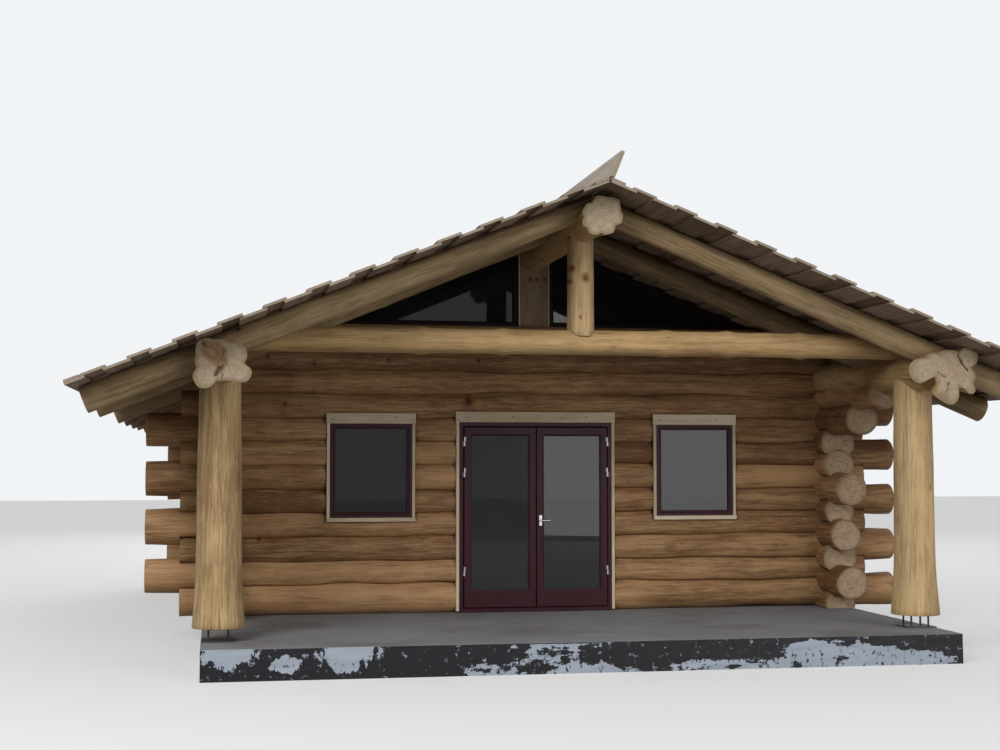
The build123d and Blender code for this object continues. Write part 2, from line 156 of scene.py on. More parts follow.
lamp("key", 8.0, 2350.0, (-11.0, -15.0, 11.0), (0.0, 0.5, 1.5))
lamp("fill", 12.0, 1250.0, (9.0, -17.0, 6.0), (0.0, 0.5, 1.8))
lamp("back", 12.0, 1800.0, (3.0, 22.0, 11.0), (0.0, 4.0, 2.0))
print("camera and", len(bpy.data.lights), "lamps placed")

# %% [markdown]
# Shader maths is written as ordinary sums: a small class holds a socket, and plus, minus, times and
# divide each add one Math node. Every other node comes from one method that takes its type, its
# settings, which are set first, and then the values or links of its sockets.


# %% Shader values
class Value:
    """A shader number that can be used in Python sums, from either side."""

    def __init__(self, paint, socket):
        self.paint = paint
        self.socket = socket

    def math(self, operation, *others):
        return self.paint.node("ShaderNodeMath", {"operation": operation},
                               dict(enumerate((self,) + others)))

    def __add__(self, other):
        return self.math("ADD", other)

    def __sub__(self, other):
        return self.math("SUBTRACT", other)

    def __rsub__(self, other):
        return self.math("MULTIPLY", -1.0).math("ADD", other)

    def __mul__(self, other):
        return self.math("MULTIPLY", other)

    def __truediv__(self, other):
        return self.math("DIVIDE", other)

    __radd__, __rmul__ = __add__, __mul__

    def hypot(self, other):
        """Length of the line whose two parts are this value and other."""
        return (self * self + other * other).math("SQRT")

    def band(self, low, high):
        """0 below low, 1 above high, and smooth between; low may be the larger."""
        settings = {"interpolation_type": "SMOOTHSTEP"}
        sockets = {"Value": self, "From Min": min(low, high), "From Max": max(low, high)}
        step = self.paint.node("ShaderNodeMapRange", settings, sockets)
        return step if low <= high else 1 - step


def least(values):
    """The least of several shader values."""
    total, *others = values
    for other in others:
        total = total.math("MINIMUM", other)
    return total


def scaled(colour, factor):
    return tuple(factor * c for c in colour)


class Paint:
    """One material: its node tree and its surface shader."""

    def __init__(self, name, **sockets):
        self.material = bpy.data.materials.new(name)
        self.material.use_nodes = True
        self.tree = self.material.node_tree
        self.surface = self.tree.nodes["Principled BSDF"]
        for socket, value in sockets.items():
            self.surface.inputs[socket.replace("_", " ")].default_value = value

    def node(self, kind, settings=None, sockets=None, out=0):
        made = self.tree.nodes.new(kind)
        for key, value in (settings or {}).items():
            setattr(made, key, value)
        for key, value in (sockets or {}).items():
            if isinstance(value, Value):
                self.tree.links.new(value.socket, made.inputs[key])
            else:
                made.inputs[key].default_value = value
        return Value(self, made.outputs[out])

    def vector(self, x, y, z=0.0):
        return self.node("ShaderNodeCombineXYZ", None, {0: x, 1: y, 2: z})

    def placed_at(self, place):
        """A vector as it is, or one made of two or three numbers."""
        return place if isinstance(place, Value) else self.vector(*place)

    def parts(self, vector):
        made = self.tree.nodes.new("ShaderNodeSeparateXYZ")
        self.tree.links.new(vector.socket, made.inputs[0])
        return [Value(self, made.outputs[k]) for k in range(3)]

    def noise(self, place, scale=1.0, detail=3.0, rough=0.55):
        return self.node("ShaderNodeTexNoise", {"noise_dimensions": "3D"},
                         {"Vector": self.placed_at(place), "Scale": scale, "Detail": detail,
                          "Roughness": rough})

    def cells(self, place, scale=1.0, feature="F1", out=0):
        return self.node("ShaderNodeTexVoronoi", {"feature": feature},
                         {"Vector": self.placed_at(place), "Scale": scale}, out)

    def mix(self, factor, a, b):
        a = a if isinstance(a, Value) else (*a, 1.0)
        b = b if isinstance(b, Value) else (*b, 1.0)
        return self.node("ShaderNodeMix", {"data_type": "RGBA"}, {0: factor, 6: a, 7: b}, 2)

    def attribute(self, name):
        return self.node("ShaderNodeAttribute", {"attribute_name": name}, None, 2)

    def place(self, kind="UV"):
        return self.node("ShaderNodeTexCoord", None, None, {"UV": 2, "Object": 3}[kind])

    def bump(self, height):
        return self.node("ShaderNodeBump", None, {"Height": height, "Distance": 1.0, "Strength": 1.0})

    def finish(self, **links):
        for socket, value in links.items():
            self.tree.links.new(value.socket, self.surface.inputs[socket.replace("_", " ")])
        return self.material


print("shader values can be added, subtracted, multiplied and divided")

# %% [markdown]
# Timber has two faces. Along the log the grain runs in long streaks, broken by knots, by narrow drying
# cracks and by the flat marks of the drawknife. On a sawn end there are rings round the pith and cracks
# that open outwards from it. The surfaces below carry a UV map in metres, along and around on the sides
# and across on the ends, and a face attribute "cut" that is 1 on sawn ends, so that one material can
# hold both faces. A second attribute, "tone", makes one log a little lighter than the next, and a third,
# "rim", falls from 1 at a timber's outside to 0 at the pith of its ends.

# %% Side and sawn end of a timber
PITH_REACH = 0.17
DULL = 0.22
KNOT_BROWN, CRACK_BROWN, STAR_BROWN = (0.040, 0.018, 0.009), (0.020, 0.012, 0.007), (0.050, 0.030, 0.018)
BLUSH = (0.170, 0.062, 0.022)
MARK_TINTS = ((0.150, 0.060, 0.026), (0.032, 0.015, 0.009))


def long_grain(paint, at, place, tone, dark, light, knots=1.0, cracks=1.0, tool=1.0, red=0.0, scuffs=0.0,
               marks=(), marks_back=99.0, mark_tints=MARK_TINTS):
    """Colour, height and streaks of a timber's long side; place is its UV vector with u and v. marks are
    big knots seen from the front, each (x, z, radius), and only in front of marks_back."""
    uv, u, v = place
    wander = paint.noise((u * 0.9, v * 1.6, 3.0), 1.0, 2.0)
    v_bent = v + (wander - 0.5) * 0.05
    streak = paint.noise((u * 0.7, v_bent * 15.0), 1.0, 4.0, 0.6)
    fibre = paint.noise((u * 5.0, v_bent * 140.0), 1.0, 3.0, 0.6)
    fleck = paint.noise((u * 3.2, v_bent * 46.0, 23.0), 1.0, 4.0, 0.65)
    cloud = paint.noise((u * 0.8, v * 2.0, 7.0))
    stain = paint.noise((u * 2.6, v * 5.0, 11.0), 1.0, 4.0, 0.65)

    knot_at = paint.vector(u * 1.5, v * 2.1)
    chosen = paint.parts(paint.cells(knot_at, out=1))[0].band(0.45, 0.5) * knots
    edge = paint.cells(knot_at) + (paint.noise(uv, 40.0, 2.0) - 0.5) * 0.03
    knot = edge.band(0.055, 0.030) * chosen
    halo = edge.band(0.17, 0.05) * chosen

    line = paint.noise((u * 0.45, v_bent * 8.0, 5.0), 1.0, 2.0, 0.4)
    where = paint.noise((u * 0.6, v * 3.0, 9.0), 1.0, 1.0)
    crack = (line - 0.5).math("ABSOLUTE").band(0.009, 0.002) * where.band(0.52, 0.62) * cracks

    body = streak * 0.36 + cloud * 0.26 + stain * 0.22 + fleck * 0.42 + fibre * 0.14 + (tone - 0.5) * 0.22
    side = paint.mix(body.band(0.54, 0.86), dark, light)
    if red:
        blush = paint.noise((u * 1.4, v * 5.0, tone * 23.0), 1.0, 4.0, 0.65)
        side = paint.mix(blush.band(0.46, 0.70) * red, side, BLUSH)
    if scuffs:
        scuff = paint.noise((u * 7.0, v * 40.0, 19.0), 1.0, 4.0, 0.7)
        side = paint.mix(scuff.band(0.54, 0.74) * scuffs, side, scaled(light, 1.1))
    side = paint.mix(halo * 0.35, side, scaled(dark, 0.55))
    side = paint.mix(knot, side, KNOT_BROWN)
    side = paint.mix(crack * 0.85, side, CRACK_BROWN)
    if marks:
        # Uneven rings of brown round a near black middle
        shake = (paint.noise(uv, 30.0) - 0.5) * 0.03
        big = least([((at[0] - x).hypot((at[2] - z) * 0.8) + shake) / radius for x, z, radius in marks])
        front = at[1].band(marks_back, marks_back - 0.05)
        side = paint.mix(big.band(1.5, 0.8) * front * 0.75, side, mark_tints[0])
        side = paint.mix(big.band(0.75, 0.35) * front * 0.85, side, mark_tints[1])

    flats = paint.cells((u * 2.4, v * 15.0), 1.0, "SMOOTH_F1")
    ripple = paint.noise((u * 14.0, v * 9.0, 2.0), 1.0, 2.0)
    height = streak * 0.0016 + fibre * 0.0005 + flats * 0.0045 * tool + ripple * 0.0010 * tool
    return side, height + knot * 0.004 - crack * 0.007, streak


def sawn_end(paint, at, u, v, tone, rim, dark, light, rings, star_size, blots):
    """Colour and height of a sawn end, whose rings follow the outline of the cut. blots are stains, checks
    and painted highlights, each a line from (x0, z0) to (x1, z1) with a radius, colour and strength."""
    warp = paint.noise((u, v, tone * 9.0), 9.0, 2.0)
    grown = rim * PITH_REACH + warp * 0.020
    years = paint.noise((grown * 85.0, tone * 40.0, 2.0), 1.0, 2.0, 0.7)
    year = (grown * 900.0).math("SINE") * 0.5 + 0.5
    ray = paint.noise((v.math("ARCTAN2", u) * 2.2, tone * 17.0, u.hypot(v) * 1.5), 1.0, 2.0, 0.5)
    star = (ray - 0.5).math("ABSOLUTE").band(0.011, 0.002) * rim.band(0.05, 0.2) * rim.band(0.95, 0.60)
    star = star * paint.noise((tone * 51.0, 3.0), 1.0, 1.0).band(0.45, 0.6) * star_size
    dirt = paint.noise((u, v, tone * 5.0), 16.0, 4.0, 0.65)
    grit = paint.noise((u, v, tone * 5.0), 60.0, 4.0, 0.7)
    kerf = paint.noise((u * 4.0 + v * 9.0, v * 60.0, tone * 3.0), 1.0, 2.0)
    shade = years.band(0.36, 0.64) * rings + dirt.band(0.36, 0.64) * 0.34 + grit.band(0.38, 0.62) * 0.30
    shade = shade + year * 0.05 + kerf.band(0.35, 0.65) * 0.12 - 0.12
    end = paint.mix(shade, light, dark)
    for x0, z0, x1, z1, radius, tint, strength in blots:
        run_x, run_z = x1 - x0, z1 - z0
        reach = run_x * run_x + run_z * run_z + 1e-9
        part = ((at[0] - x0) * run_x + (at[2] - z0) * run_z) / reach
        part = part.math("MAXIMUM", 0.0).math("MINIMUM", 1.0)
        off_x = at[0] + (dirt - 0.5) * 0.07 - x0 - part * run_x
        off_z = at[2] + (warp - 0.5) * 0.07 - z0 - part * run_z
        ragged = (dirt - 0.5) * (0.010 + radius * 1.1) + (grit - 0.5) * (0.008 + radius * 0.8)
        near = (off_x.hypot(off_z) + ragged) / radius
        end = paint.mix(near.band(1.15, 0.70) * grit.band(0.30, 0.48) * strength, end, tint)
    end = paint.mix(rim.band(0.78, 1.0) * 0.55, end, scaled(dark, 0.62))
    end = paint.mix(dirt.band(0.60, 0.74) * 0.45, end, scaled(dark, 0.45))
    end = paint.mix(star, end, STAR_BROWN)
    return end, year * 0.0003 - star * 0.004 + dirt * 0.0020 + kerf * 0.0016


def timber(name, dark, light, end_dark, end_light, rough=0.62, along=None, rings=0.45, star_size=0.35,
           blots=(), **side_look):
    """Material of a log or board. Where a piece has no UV map of its own, along names the object axis that
    its grain follows, and the two other axes are added up to go around it."""
    paint = Paint(name, Roughness=rough, Specular_IOR_Level=DULL)
    at = paint.parts(paint.place("Object"))
    if along is None:
        uv = paint.place("UV")
        u, v, _ = paint.parts(uv)
    else:
        axes = dict(zip("xyz", at))
        u = axes.pop(along)
        first, second = axes.values()
        v = first + second * 0.83
        uv = paint.vector(u, v)
    cut, tone, rim = (paint.attribute(title) for title in ("cut", "tone", "rim"))
    side, side_height, streak = long_grain(paint, at, (uv, u, v), tone, dark, light, **side_look)
    end, end_height = sawn_end(paint, at, u, v, tone, rim, end_dark, end_light, rings, star_size, blots)
    height = side_height * (1 - cut) + end_height * cut
    shine = (rough + 0.10) - streak * 0.16 + cut * 0.12
    return paint.finish(Base_Color=paint.mix(cut, side, end), Roughness=shine, Normal=paint.bump(height))


print("a sawn end's rings reach", PITH_REACH, "m from the pith")

# %% [markdown]
# The logs of the walls have weathered to a reddish brown, made darker still as painted shade of the porch
# roof. The posts, rafters and trunks were peeled last and are paler. Big knots and the stains, cracks and
# painted highlights of the cut butts are placed one by one, in metres.

# %% Timber materials
FRONT_KNOTS = [(-0.794, 2.726, 0.058), (-2.568, 3.143, 0.028), (-1.719, 3.199, 0.032), (-0.675, 3.200, 0.032),
               (-2.897, 2.677, 0.024), (-3.094, 3.217, 0.024), (-3.176, 1.159, 0.024)]
KING_KNOTS = [(0.021, 3.904, 0.040), (-0.110, 4.002, 0.030), (-0.031, 3.503, 0.016), (-0.125, 3.872, 0.022)]
# The pale yellow spots on the butts are painted highlights
HEART, POCKET, PAINTED_HIGHLIGHT = (0.165, 0.082, 0.034), (0.040, 0.018, 0.009), (0.280, 0.175, 0.080)
LEFT_BLOTS = [
    (-3.730, 3.090, -3.640, 3.050, 0.090, HEART, 0.85), (-3.700, 3.010, -3.620, 2.950, 0.060, HEART, 0.75),
    (-3.720, 3.060, -3.690, 3.035, 0.030, PAINTED_HIGHLIGHT, 0.7), (-3.668, 2.845, -3.640, 2.905, 0.022, POCKET, 0.9),
    (-3.785, 3.120, -3.765, 3.100, 0.016, POCKET, 0.8), (-3.600, 3.110, -3.612, 2.930, 0.007, POCKET, 0.6),
    (-3.612, 2.930, -3.614, 2.775, 0.009, POCKET, 0.7)]
RIGHT_BLOTS = [
    (3.705, 3.120, 3.740, 3.035, 0.014, POCKET, 0.9), (3.740, 3.035, 3.800, 2.960, 0.012, POCKET, 0.9),
    (3.600, 2.830, 3.566, 2.720, 0.010, POCKET, 0.8), (3.480, 2.940, 3.560, 2.890, 0.012, POCKET, 0.6),
    (3.520, 2.700, 3.560, 2.680, 0.045, HEART, 0.4), (3.620, 3.000, 3.680, 2.900, 0.040, PAINTED_HIGHLIGHT, 0.35)]


def trunk_wood(name, rings, blots=()):
    """Wood of the trunks in the truss and at the eaves."""
    return timber(name, (0.175, 0.105, 0.043), (0.450, 0.300, 0.140), (0.205, 0.150, 0.090),
                  (0.385, 0.310, 0.215), cracks=0.3, scuffs=0.4, star_size=0.0, rings=rings, blots=blots)


# Wall logs: a weathered reddish brown, darkened further as painted shade under the porch roof
log_wood = timber("log_wood", (0.120, 0.060, 0.025), (0.405, 0.238, 0.115), (0.235, 0.150, 0.085),
                  (0.43, 0.325, 0.215), knots=0.8, cracks=0.45, tool=1.2, red=0.38, scuffs=0.6,
                  marks=FRONT_KNOTS, marks_back=-0.05)
post_wood = timber("post_wood", (0.205, 0.128, 0.056), (0.520, 0.365, 0.185), (0.30, 0.22, 0.13),
                   (0.50, 0.40, 0.26), knots=0.6, cracks=0.6, tool=1.6, scuffs=0.5)
beam_wood = trunk_wood("beam_wood", 0.22)
plate_woods = {"left": trunk_wood("left_plate_wood", 0.18, LEFT_BLOTS),
               "right": trunk_wood("right_plate_wood", 0.18, RIGHT_BLOTS)}
rafter_wood = timber("rafter_wood", (0.148, 0.100, 0.050), (0.395, 0.285, 0.155), (0.235, 0.180, 0.110),
                     (0.40, 0.32, 0.22), cracks=0.3, scuffs=0.4)
king_wood = timber("king_wood", (0.190, 0.120, 0.055), (0.500, 0.355, 0.185), (0.30, 0.22, 0.13),
                   (0.50, 0.40, 0.26), knots=0.5, cracks=0.4, scuffs=0.6, marks=KING_KNOTS, marks_back=-2.35,
                   mark_tints=((0.245, 0.105, 0.040), (0.125, 0.045, 0.016)))
print("timber materials made:", len(bpy.data.materials))

# %% [markdown]
# A mesh is put together from whole arrays. Several surfaces that belong to one node, such as the logs
# of a wall, are joined into one mesh, which keeps the number of pieces small.


# %% Mesh from arrays
class Pile:
    """Collects surfaces as arrays, and makes one mesh of them."""

    def __init__(self):
        self.surfaces = []
        self.count = 0

    def add(self, points, quads, uvs, cuts=0.0, tone=0.5, smooth=0.0, rims=1.0):
        """quads index points, and uvs has four pairs for each quad. cuts and smooth are one value, or one
        for each quad, and rims one value, or one for each point."""
        a, b, c, d = (points[quads[:, k]] for k in range(4))
        tri = quads[:, 0] == quads[:, 1]
        volume = (np.cross(b, c) * a)[~tri].sum() + (np.cross(c, d) * a).sum()
        if volume < 0:
            # Faces that point inwards are read the other way round; triangles keep their double corner first
            turned = np.where(tri[:, None], [0, 1, 3, 2], [3, 2, 1, 0])
            quads = np.take_along_axis(quads, turned, 1)
            uvs = np.take_along_axis(uvs, turned[..., None], 1)
        each = [np.full(len(quads), values) for values in (cuts, tone, smooth)]
        self.surfaces.append((points, quads + self.count, uvs, *each, np.full(len(points), rims)))
        self.count += len(points)

    def make(self, name, material):
        joined = [np.concatenate(part) for part in zip(*self.surfaces)]
        points, quads, uvs, cuts, tones, smooths, rims = joined
        mesh = bpy.data.meshes.new(name)
        # A quad whose first two corners are one point is a triangle
        tri = quads[:, 0] == quads[:, 1]
        sizes = np.where(tri, 3, 4)
        keep = np.ones((len(quads), 4), bool)
        keep[tri, 0] = False
        mesh.vertices.add(len(points))
        mesh.vertices.foreach_set("co", points.astype(np.float32).ravel())
        mesh.loops.add(int(sizes.sum()))
        mesh.loops.foreach_set("vertex_index", quads[keep].astype(np.int32))
        mesh.polygons.add(len(quads))
        mesh.polygons.foreach_set("loop_start", running(sizes[:-1]).astype(np.int32))
        mesh.polygons.foreach_set("use_smooth", smooths.astype(bool))
        layer = mesh.uv_layers.new(name="UVMap")
        layer.data.foreach_set("uv", uvs[keep].astype(np.float32).ravel())
        for title, values, domain in (("cut", cuts, "FACE"), ("tone", tones, "FACE"), ("rim", rims, "POINT")):
            data = mesh.attributes.new(title, "FLOAT", domain)
            data.data.foreach_set("value", values.astype(np.float32))
        mesh.update(calc_edges=True)
        mesh.validate()
        mesh.materials.append(material)
        obj = bpy.data.objects.new(name, mesh)
        bpy.context.scene.collection.objects.link(obj)
        return obj


def stand_for(pile, name, body, nodes, material):
    """Make the pile's mesh, let it ride on a body, and let it stand for CAD nodes."""
    obj = pile.make(name, material)
    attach(obj, body)
    if nodes:
        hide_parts(*nodes)
    print(name, "has", len(obj.data.polygons), "faces")


print("piles of surfaces can be made into meshes")

# %% [markdown]
# Most surfaces are grids of points: rings along a line, or a profile carried round a frame. Their quads
# and UV corners follow from the two counts and from the distances along and around.


# %% Grids
def running(steps):
    """Running total of a row of steps, from 0."""
    return np.concatenate(([0.0], np.cumsum(steps)))


def outline_lengths(outline):
    """Distance along a closed flat outline to each of its points, and once round."""
    return running(np.hypot(*(np.roll(outline, -1, 0) - outline).T))


def tube_faces(n, m, along, around):
    """Quads and UV corners of a tube of n rings of m points, from its distances along and around."""
    i, j = (part.ravel() for part in np.indices((n - 1, m)))
    k = (j + 1) % m
    quads = np.stack((i * m + j, i * m + k, (i + 1) * m + k, (i + 1) * m + j), -1)
    u0, u1, v0, v1 = along[i], along[i + 1], around[j], around[j + 1]
    return quads, np.stack((u0, v0, u0, v1, u1, v1, u1, v0), -1).reshape(-1, 4, 2)


def closed_faces(n, m):
    """Quads of a grid that closes both ways, with the row and column where each one starts."""
    i, j = (part.ravel() for part in np.indices((n, m)))
    i1, j1 = (i + 1) % n, (j + 1) % m
    return np.stack((i * m + j, i1 * m + j, i1 * m + j1, i * m + j1), -1), i, j


def lofted(pile, rings, tone=0.5, seed=0, cut_ends=1.0):
    """Closed surface through rings of equal count; a fan to the ring's middle closes each end. Its UV map
    is the mean arc length along and around, in metres."""
    n, m = rings.shape[:2]
    step = np.linalg.norm(np.diff(rings, axis=0), axis=-1).mean(axis=1)
    stride = np.linalg.norm(np.roll(rings, -1, 1) - rings, axis=-1).mean(axis=0)
    quads, uvs = tube_faces(n, m, running(step) + 3.1 * seed, running(stride) + 1.7 * seed)
    points = rings.reshape(-1, 3)
    here, there = np.arange(m), (np.arange(m) + 1) % m
    for row, ends in ((0, (there, here)), (n - 1, (here, there))):
        ring = rings[row]
        middle = ring.mean(axis=0)
        # Flat coordinates of the end face, along its longest line and square to it
        first = ring[np.argmax(np.linalg.norm(ring - middle, axis=1))] - middle
        first = first / np.linalg.norm(first)
        normal = np.cross(ring[0] - middle, ring[m // 3] - middle)
        second = np.cross(normal / max(np.linalg.norm(normal), 1e-9), first)
        flat = np.stack(((ring - middle) @ first, (ring - middle) @ second), -1)
        hub = np.full(m, len(points))
        points = np.concatenate((points, middle[None]))
        quads = np.concatenate((quads, np.stack((hub, hub, ends[0] + row * m, ends[1] + row * m), -1)))
        zero = np.zeros((m, 2))
        uvs = np.concatenate((uvs, np.stack((zero, zero, flat[ends[0]], flat[ends[1]]), -2)))
    cuts = np.concatenate((np.zeros((n - 1) * m), np.full(2 * m, cut_ends)))
    pile.add(points, quads, uvs, cuts, tone, rims=np.concatenate((np.full(n * m, 0.7), [0.4, 0.4])))


def eased(outline, ease):
    """Each corner of a closed outline is cut off at ease along both of its sides."""
    outline = np.array(outline, float)
    back, ahead = np.roll(outline, 1, 0) - outline, np.roll(outline, -1, 0) - outline
    back = back / np.linalg.norm(back, axis=1)[:, None]
    ahead = ahead / np.linalg.norm(ahead, axis=1)[:, None]
    return np.stack((outline + ease * back, outline + ease * ahead), 1).reshape(-1, outline.shape[1])


print("a tube of 4 rings of 12 points has", len(tube_faces(4, 12, np.arange(4), np.arange(13))[0]), "quads")

# %% [markdown]
# A round timber is a grid: stations along its axis, angles around it from the underside. Its radius at
# each grid point is the mean radius, times a straight taper, plus a few low waves around and along, plus
# a soft hump at each branch knot. The scribed groove is the part of the section that lies inside the log
# below: along a ray from the axis at angle a from straight down, that log of radius q at distance p is
# met at p cos a - sqrt(q^2 - p^2 sin^2 a), and the radius is limited to that. The ends close with rings
# that step in to the centre, the first of them a worn edge.

# %% Round timber
BEVEL, KNOT_SIZE = 0.006, 0.009
END_STEPS = (0.8, 0.55, 0.28)
GROOVE_COLUMNS = 9


def smooth_waves(seed, x, cycles, size):
    """Sum of a few sines along x with random phases: a slow, unrepeating wave."""
    r = np.random.default_rng(seed)
    total = np.zeros_like(x)
    for c in cycles:
        total = total + np.sin(2 * np.pi * (x * c * r.uniform(0.7, 1.3) + r.uniform())) * r.uniform(0.4, 1.0)
    return total * size / len(cycles)


def end_face(rim, middle, side, up, own, first, facing):
    """Points, quads, UVs and rims of a sawn end: rings step in from the timber's last ring, whose point
    numbers are own, to the middle. The new points are numbered from first."""
    m = len(rim)
    inner = [middle + (rim - middle) * f for f in END_STEPS]
    flat = [np.stack(((g - middle) @ side, (g - middle) @ up), -1)
            for g in [rim] + inner + [np.repeat(middle[None], m, 0)]]
    index = [own] + [first + np.arange(m) + m * g for g in range(len(inner))]
    index.append(np.full(m, first + m * len(inner)))
    after = (np.arange(m) + 1) % m
    quads, uvs = [], []
    for values, faces in ((index, quads), (flat, uvs)):
        for g in range(len(inner)):
            corners = [values[g], values[g][after], values[g + 1][after], values[g + 1]]
            faces.append(corners[::-1] if facing > 0 else corners)
        # The innermost ring is triangles: the centre comes first, twice
        last = [values[-2], values[-2][after]]
        faces.append([values[-1], values[-1]] + (last[::-1] if facing > 0 else last))
    return (np.concatenate(inner + [middle[None]]), np.concatenate([np.stack(face, -1) for face in quads]),
            np.concatenate([np.stack(face, -2) for face in uvs]),
            np.concatenate([np.full(m, f) for f in END_STEPS] + [[0.0]]))


def round_timber(pile, start, end, radius, seed, up=(0.0, 0.0, 1.0), sides=30, step=0.09, taper=0.03,
                 wave=0.006, crook=0.0, groove=None, stations=(), shape=None, clip=None, tone=None,
                 profile=None, girth=None):
    """Log from start to end; its angles count from the side opposite to up. stations are places along it
    that need rings of their own, profile is (places, radii), girth gives extra radius along it, shape
    changes the radii and clip the finished points."""
    start, end = np.array(start, float), np.array(end, float)
    length = np.linalg.norm(end - start)
    along = (end - start) / length
    up = np.array(up, float)
    up = up - along * (up @ along)
    up = up / np.linalg.norm(up)
    side = np.cross(along, up)
    r = np.random.default_rng(seed)

    s = np.linspace(0.0, length, max(4, int(length / step)) + 1)
    extra = [q + e for q in stations for e in (-0.001, 0.001) if 0.01 < q + e < length - 0.01]
    s = np.unique(np.concatenate((s[1:-1], [0.0, BEVEL, length - BEVEL, length], extra)))
    a = np.linspace(0.0, 2 * np.pi, sides + 1)[:-1]
    S, A = np.meshgrid(s, a, indexing="ij")
    mean = radius * (1 + taper * (0.5 - S / length)) if profile is None else np.interp(S, *profile)
    if girth is not None:
        mean = mean + girth(S)
    R = mean
    if groove is not None:
        # The first columns are spread over the groove, the others over the rest of the section
        p = groove["below"]
        q = groove["radius"] + groove["girth"](S)
        corner = np.arccos(np.clip((p * p + mean * mean - q * q) / (2 * p * mean), -1, 1))
        column = np.arange(sides)[None, :]
        last = GROOVE_COLUMNS - 1.0
        A = np.where(column < GROOVE_COLUMNS, corner * (column / (last / 2) - 1.0),
                     corner + (2 * np.pi - 2 * corner) * (column - last) / (sides - last))
    for k in (2, 3, 5):
        bend = smooth_waves(seed + k, s, (0.12, 0.3), 2.0)[:, None]
        R = R + wave / k * 1.6 * np.sin(k * A + bend + r.uniform(0, 6))
    R = R + smooth_waves(seed + 9, s, (0.25, 0.6, 1.3), wave * 0.8)[:, None]
    for _ in range(int(length * 1.3)):
        ks, ka = r.uniform(0, length), r.uniform(0, 2 * np.pi)
        turn = (A - ka + np.pi) % (2 * np.pi) - np.pi
        far = (S - ks) ** 2 / 0.006 + (turn * radius) ** 2 / 0.003
        R = R + r.uniform(0.3, 1.0) * KNOT_SIZE * np.exp(-far)
    if shape is not None:
        R = shape(S, A, R)
    R[[0, -1]] -= BEVEL
    if groove is not None:
        turn = (A + np.pi) % (2 * np.pi) - np.pi
        inner = np.clip(q * q - (p * np.sin(turn)) ** 2, 0, None)
        met = p * np.cos(turn) - np.sqrt(inner)
        hit = (np.abs(turn) <= corner + 0.2) & (inner > 0) & (S > groove["from"]) & (S < groove["to"])
        R = np.where(hit, np.minimum(R, met - 0.002), R)
    sway = smooth_waves(seed + 21, s, (0.11, 0.23), crook)
    lift = smooth_waves(seed + 22, s, (0.13, 0.27), crook)
    sway, lift = (w - np.interp(s, [0, length], w[[0, -1]]) for w in (sway, lift))
    axis = start + s[:, None] * along + sway[:, None] * side + lift[:, None] * up
    out = np.sin(A)[..., None] * side - np.cos(A)[..., None] * up
    grid = axis[:, None, :] + R[..., None] * out

    n, m = grid.shape[:2]
    turns = A.mean(axis=0)
    around = np.concatenate((turns, [turns[0] + 2 * np.pi])) * radius
    shift = r.uniform(0, 90, 2)
    quads, uvs = (faces[:, [0, 3, 2, 1]] for faces in tube_faces(n, m, s + shift[0], around + shift[1]))
    points, rims = grid.reshape(-1, 3), np.ones(n * m)
    for row, facing in ((0, -1), (n - 1, 1)):
        own = np.arange(m) + row * m
        added = end_face(grid[row], axis[row], side, up, own, len(points), facing)
        points, quads, uvs, rims = (np.concatenate(pair) for pair in zip((points, quads, uvs, rims), added))
    if clip is not None:
        points = clip(points)
    cuts = np.arange(len(quads)) >= (n - 1) * m
    pile.add(points, quads, uvs, cuts, r.uniform() if tone is None else tone, ~cuts, rims)


print("a sawn end steps in at", END_STEPS, "of the radius")

# %% [markdown]
# Each wall log's axis and radius are read back from its solid. The widest corners of the section lie on
# the flats beside the axis, so their heights give the axis even where the top or the underside is cut.
# The log below, whose top it was scribed to, is found among the logs of the same wall.

# %% Wall logs read back
AXES = {"x": (0, 1), "y": (1, 0)}
WALLS = {"front": ("x", -1), "back": ("x", 1), "left": ("y", -1), "right": ("y", 1)}
LOG_SIDES = 12
EDGE = 0.003
STRIP_W = 0.036


def read_logs(node, run):
    """Axis, ends and radius of each log of a node; run is the axis that the logs lie along."""
    a, c = AXES[run]
    logs = []
    for points in solids_of(node):
        lo, hi = span(points)
        r = (hi[c] - lo[c]) / 2
        mid = (hi[c] + lo[c]) / 2
        beside = points[np.abs(np.abs(points[:, c] - mid) - r) < 0.0005][:, 2]
        facet = 2 * r * math.tan(math.pi / LOG_SIDES)
        logs.append({"a0": lo[a], "a1": hi[a], "c": mid, "z": beside.max() - facet / 2, "r": r, "top": hi[2]})
    return logs


def boards_of(wall):
    """Spans of the boards that lie on a wall's logs, and of the door frame with its side strips."""
    boards = spans_of(f"{wall}_opening_trim")
    if wall == "front":
        lo, hi = spans_of("door_frame")[0]
        boards.append((lo - (STRIP_W, 0, 0), hi + (STRIP_W, 0, 0)))
    return boards


def openings_of(wall):
    """Start, end, bottom and top of each hole in a wall's logs, from its frames and trim boards."""
    a = AXES[WALLS[wall][0]][0]
    frames = spans_of(f"{wall}_window_frames") + (spans_of("door_frame") if wall == "front" else [])
    trims = spans_of(f"{wall}_opening_trim")
    holes = []
    for lo, hi in frames:
        near = [t for t in trims if t[0][a] < (lo[a] + hi[a]) / 2 < t[1][a]]
        below = [t[0][2] for t in near if t[1][2] < lo[2] + 0.01]
        above = [t[1][2] for t in near if t[0][2] > hi[2] - 0.01]
        side_room = 0.039 if below else 0.003
        holes.append((lo[a] - side_room, hi[a] + side_room, min(below + [lo[2]]), max(above)))
    return holes


print("openings in the front wall:", len(openings_of("front")))

# %% [markdown]
# Each log is grooved over the one below and then cut flat where a board is seated in it, under the roof,
# on the floor and at the openings. Its girth swells and shrinks slowly along the wall, and because that
# wave comes from the height of the course, the groove above can follow it.

# %% Wall logs
COURSE_GAP = (0.2, 0.34)
GIRTH_WAVE = 0.026
SEAT_ROOM, SEAT_DEPTH = 0.02, 0.012


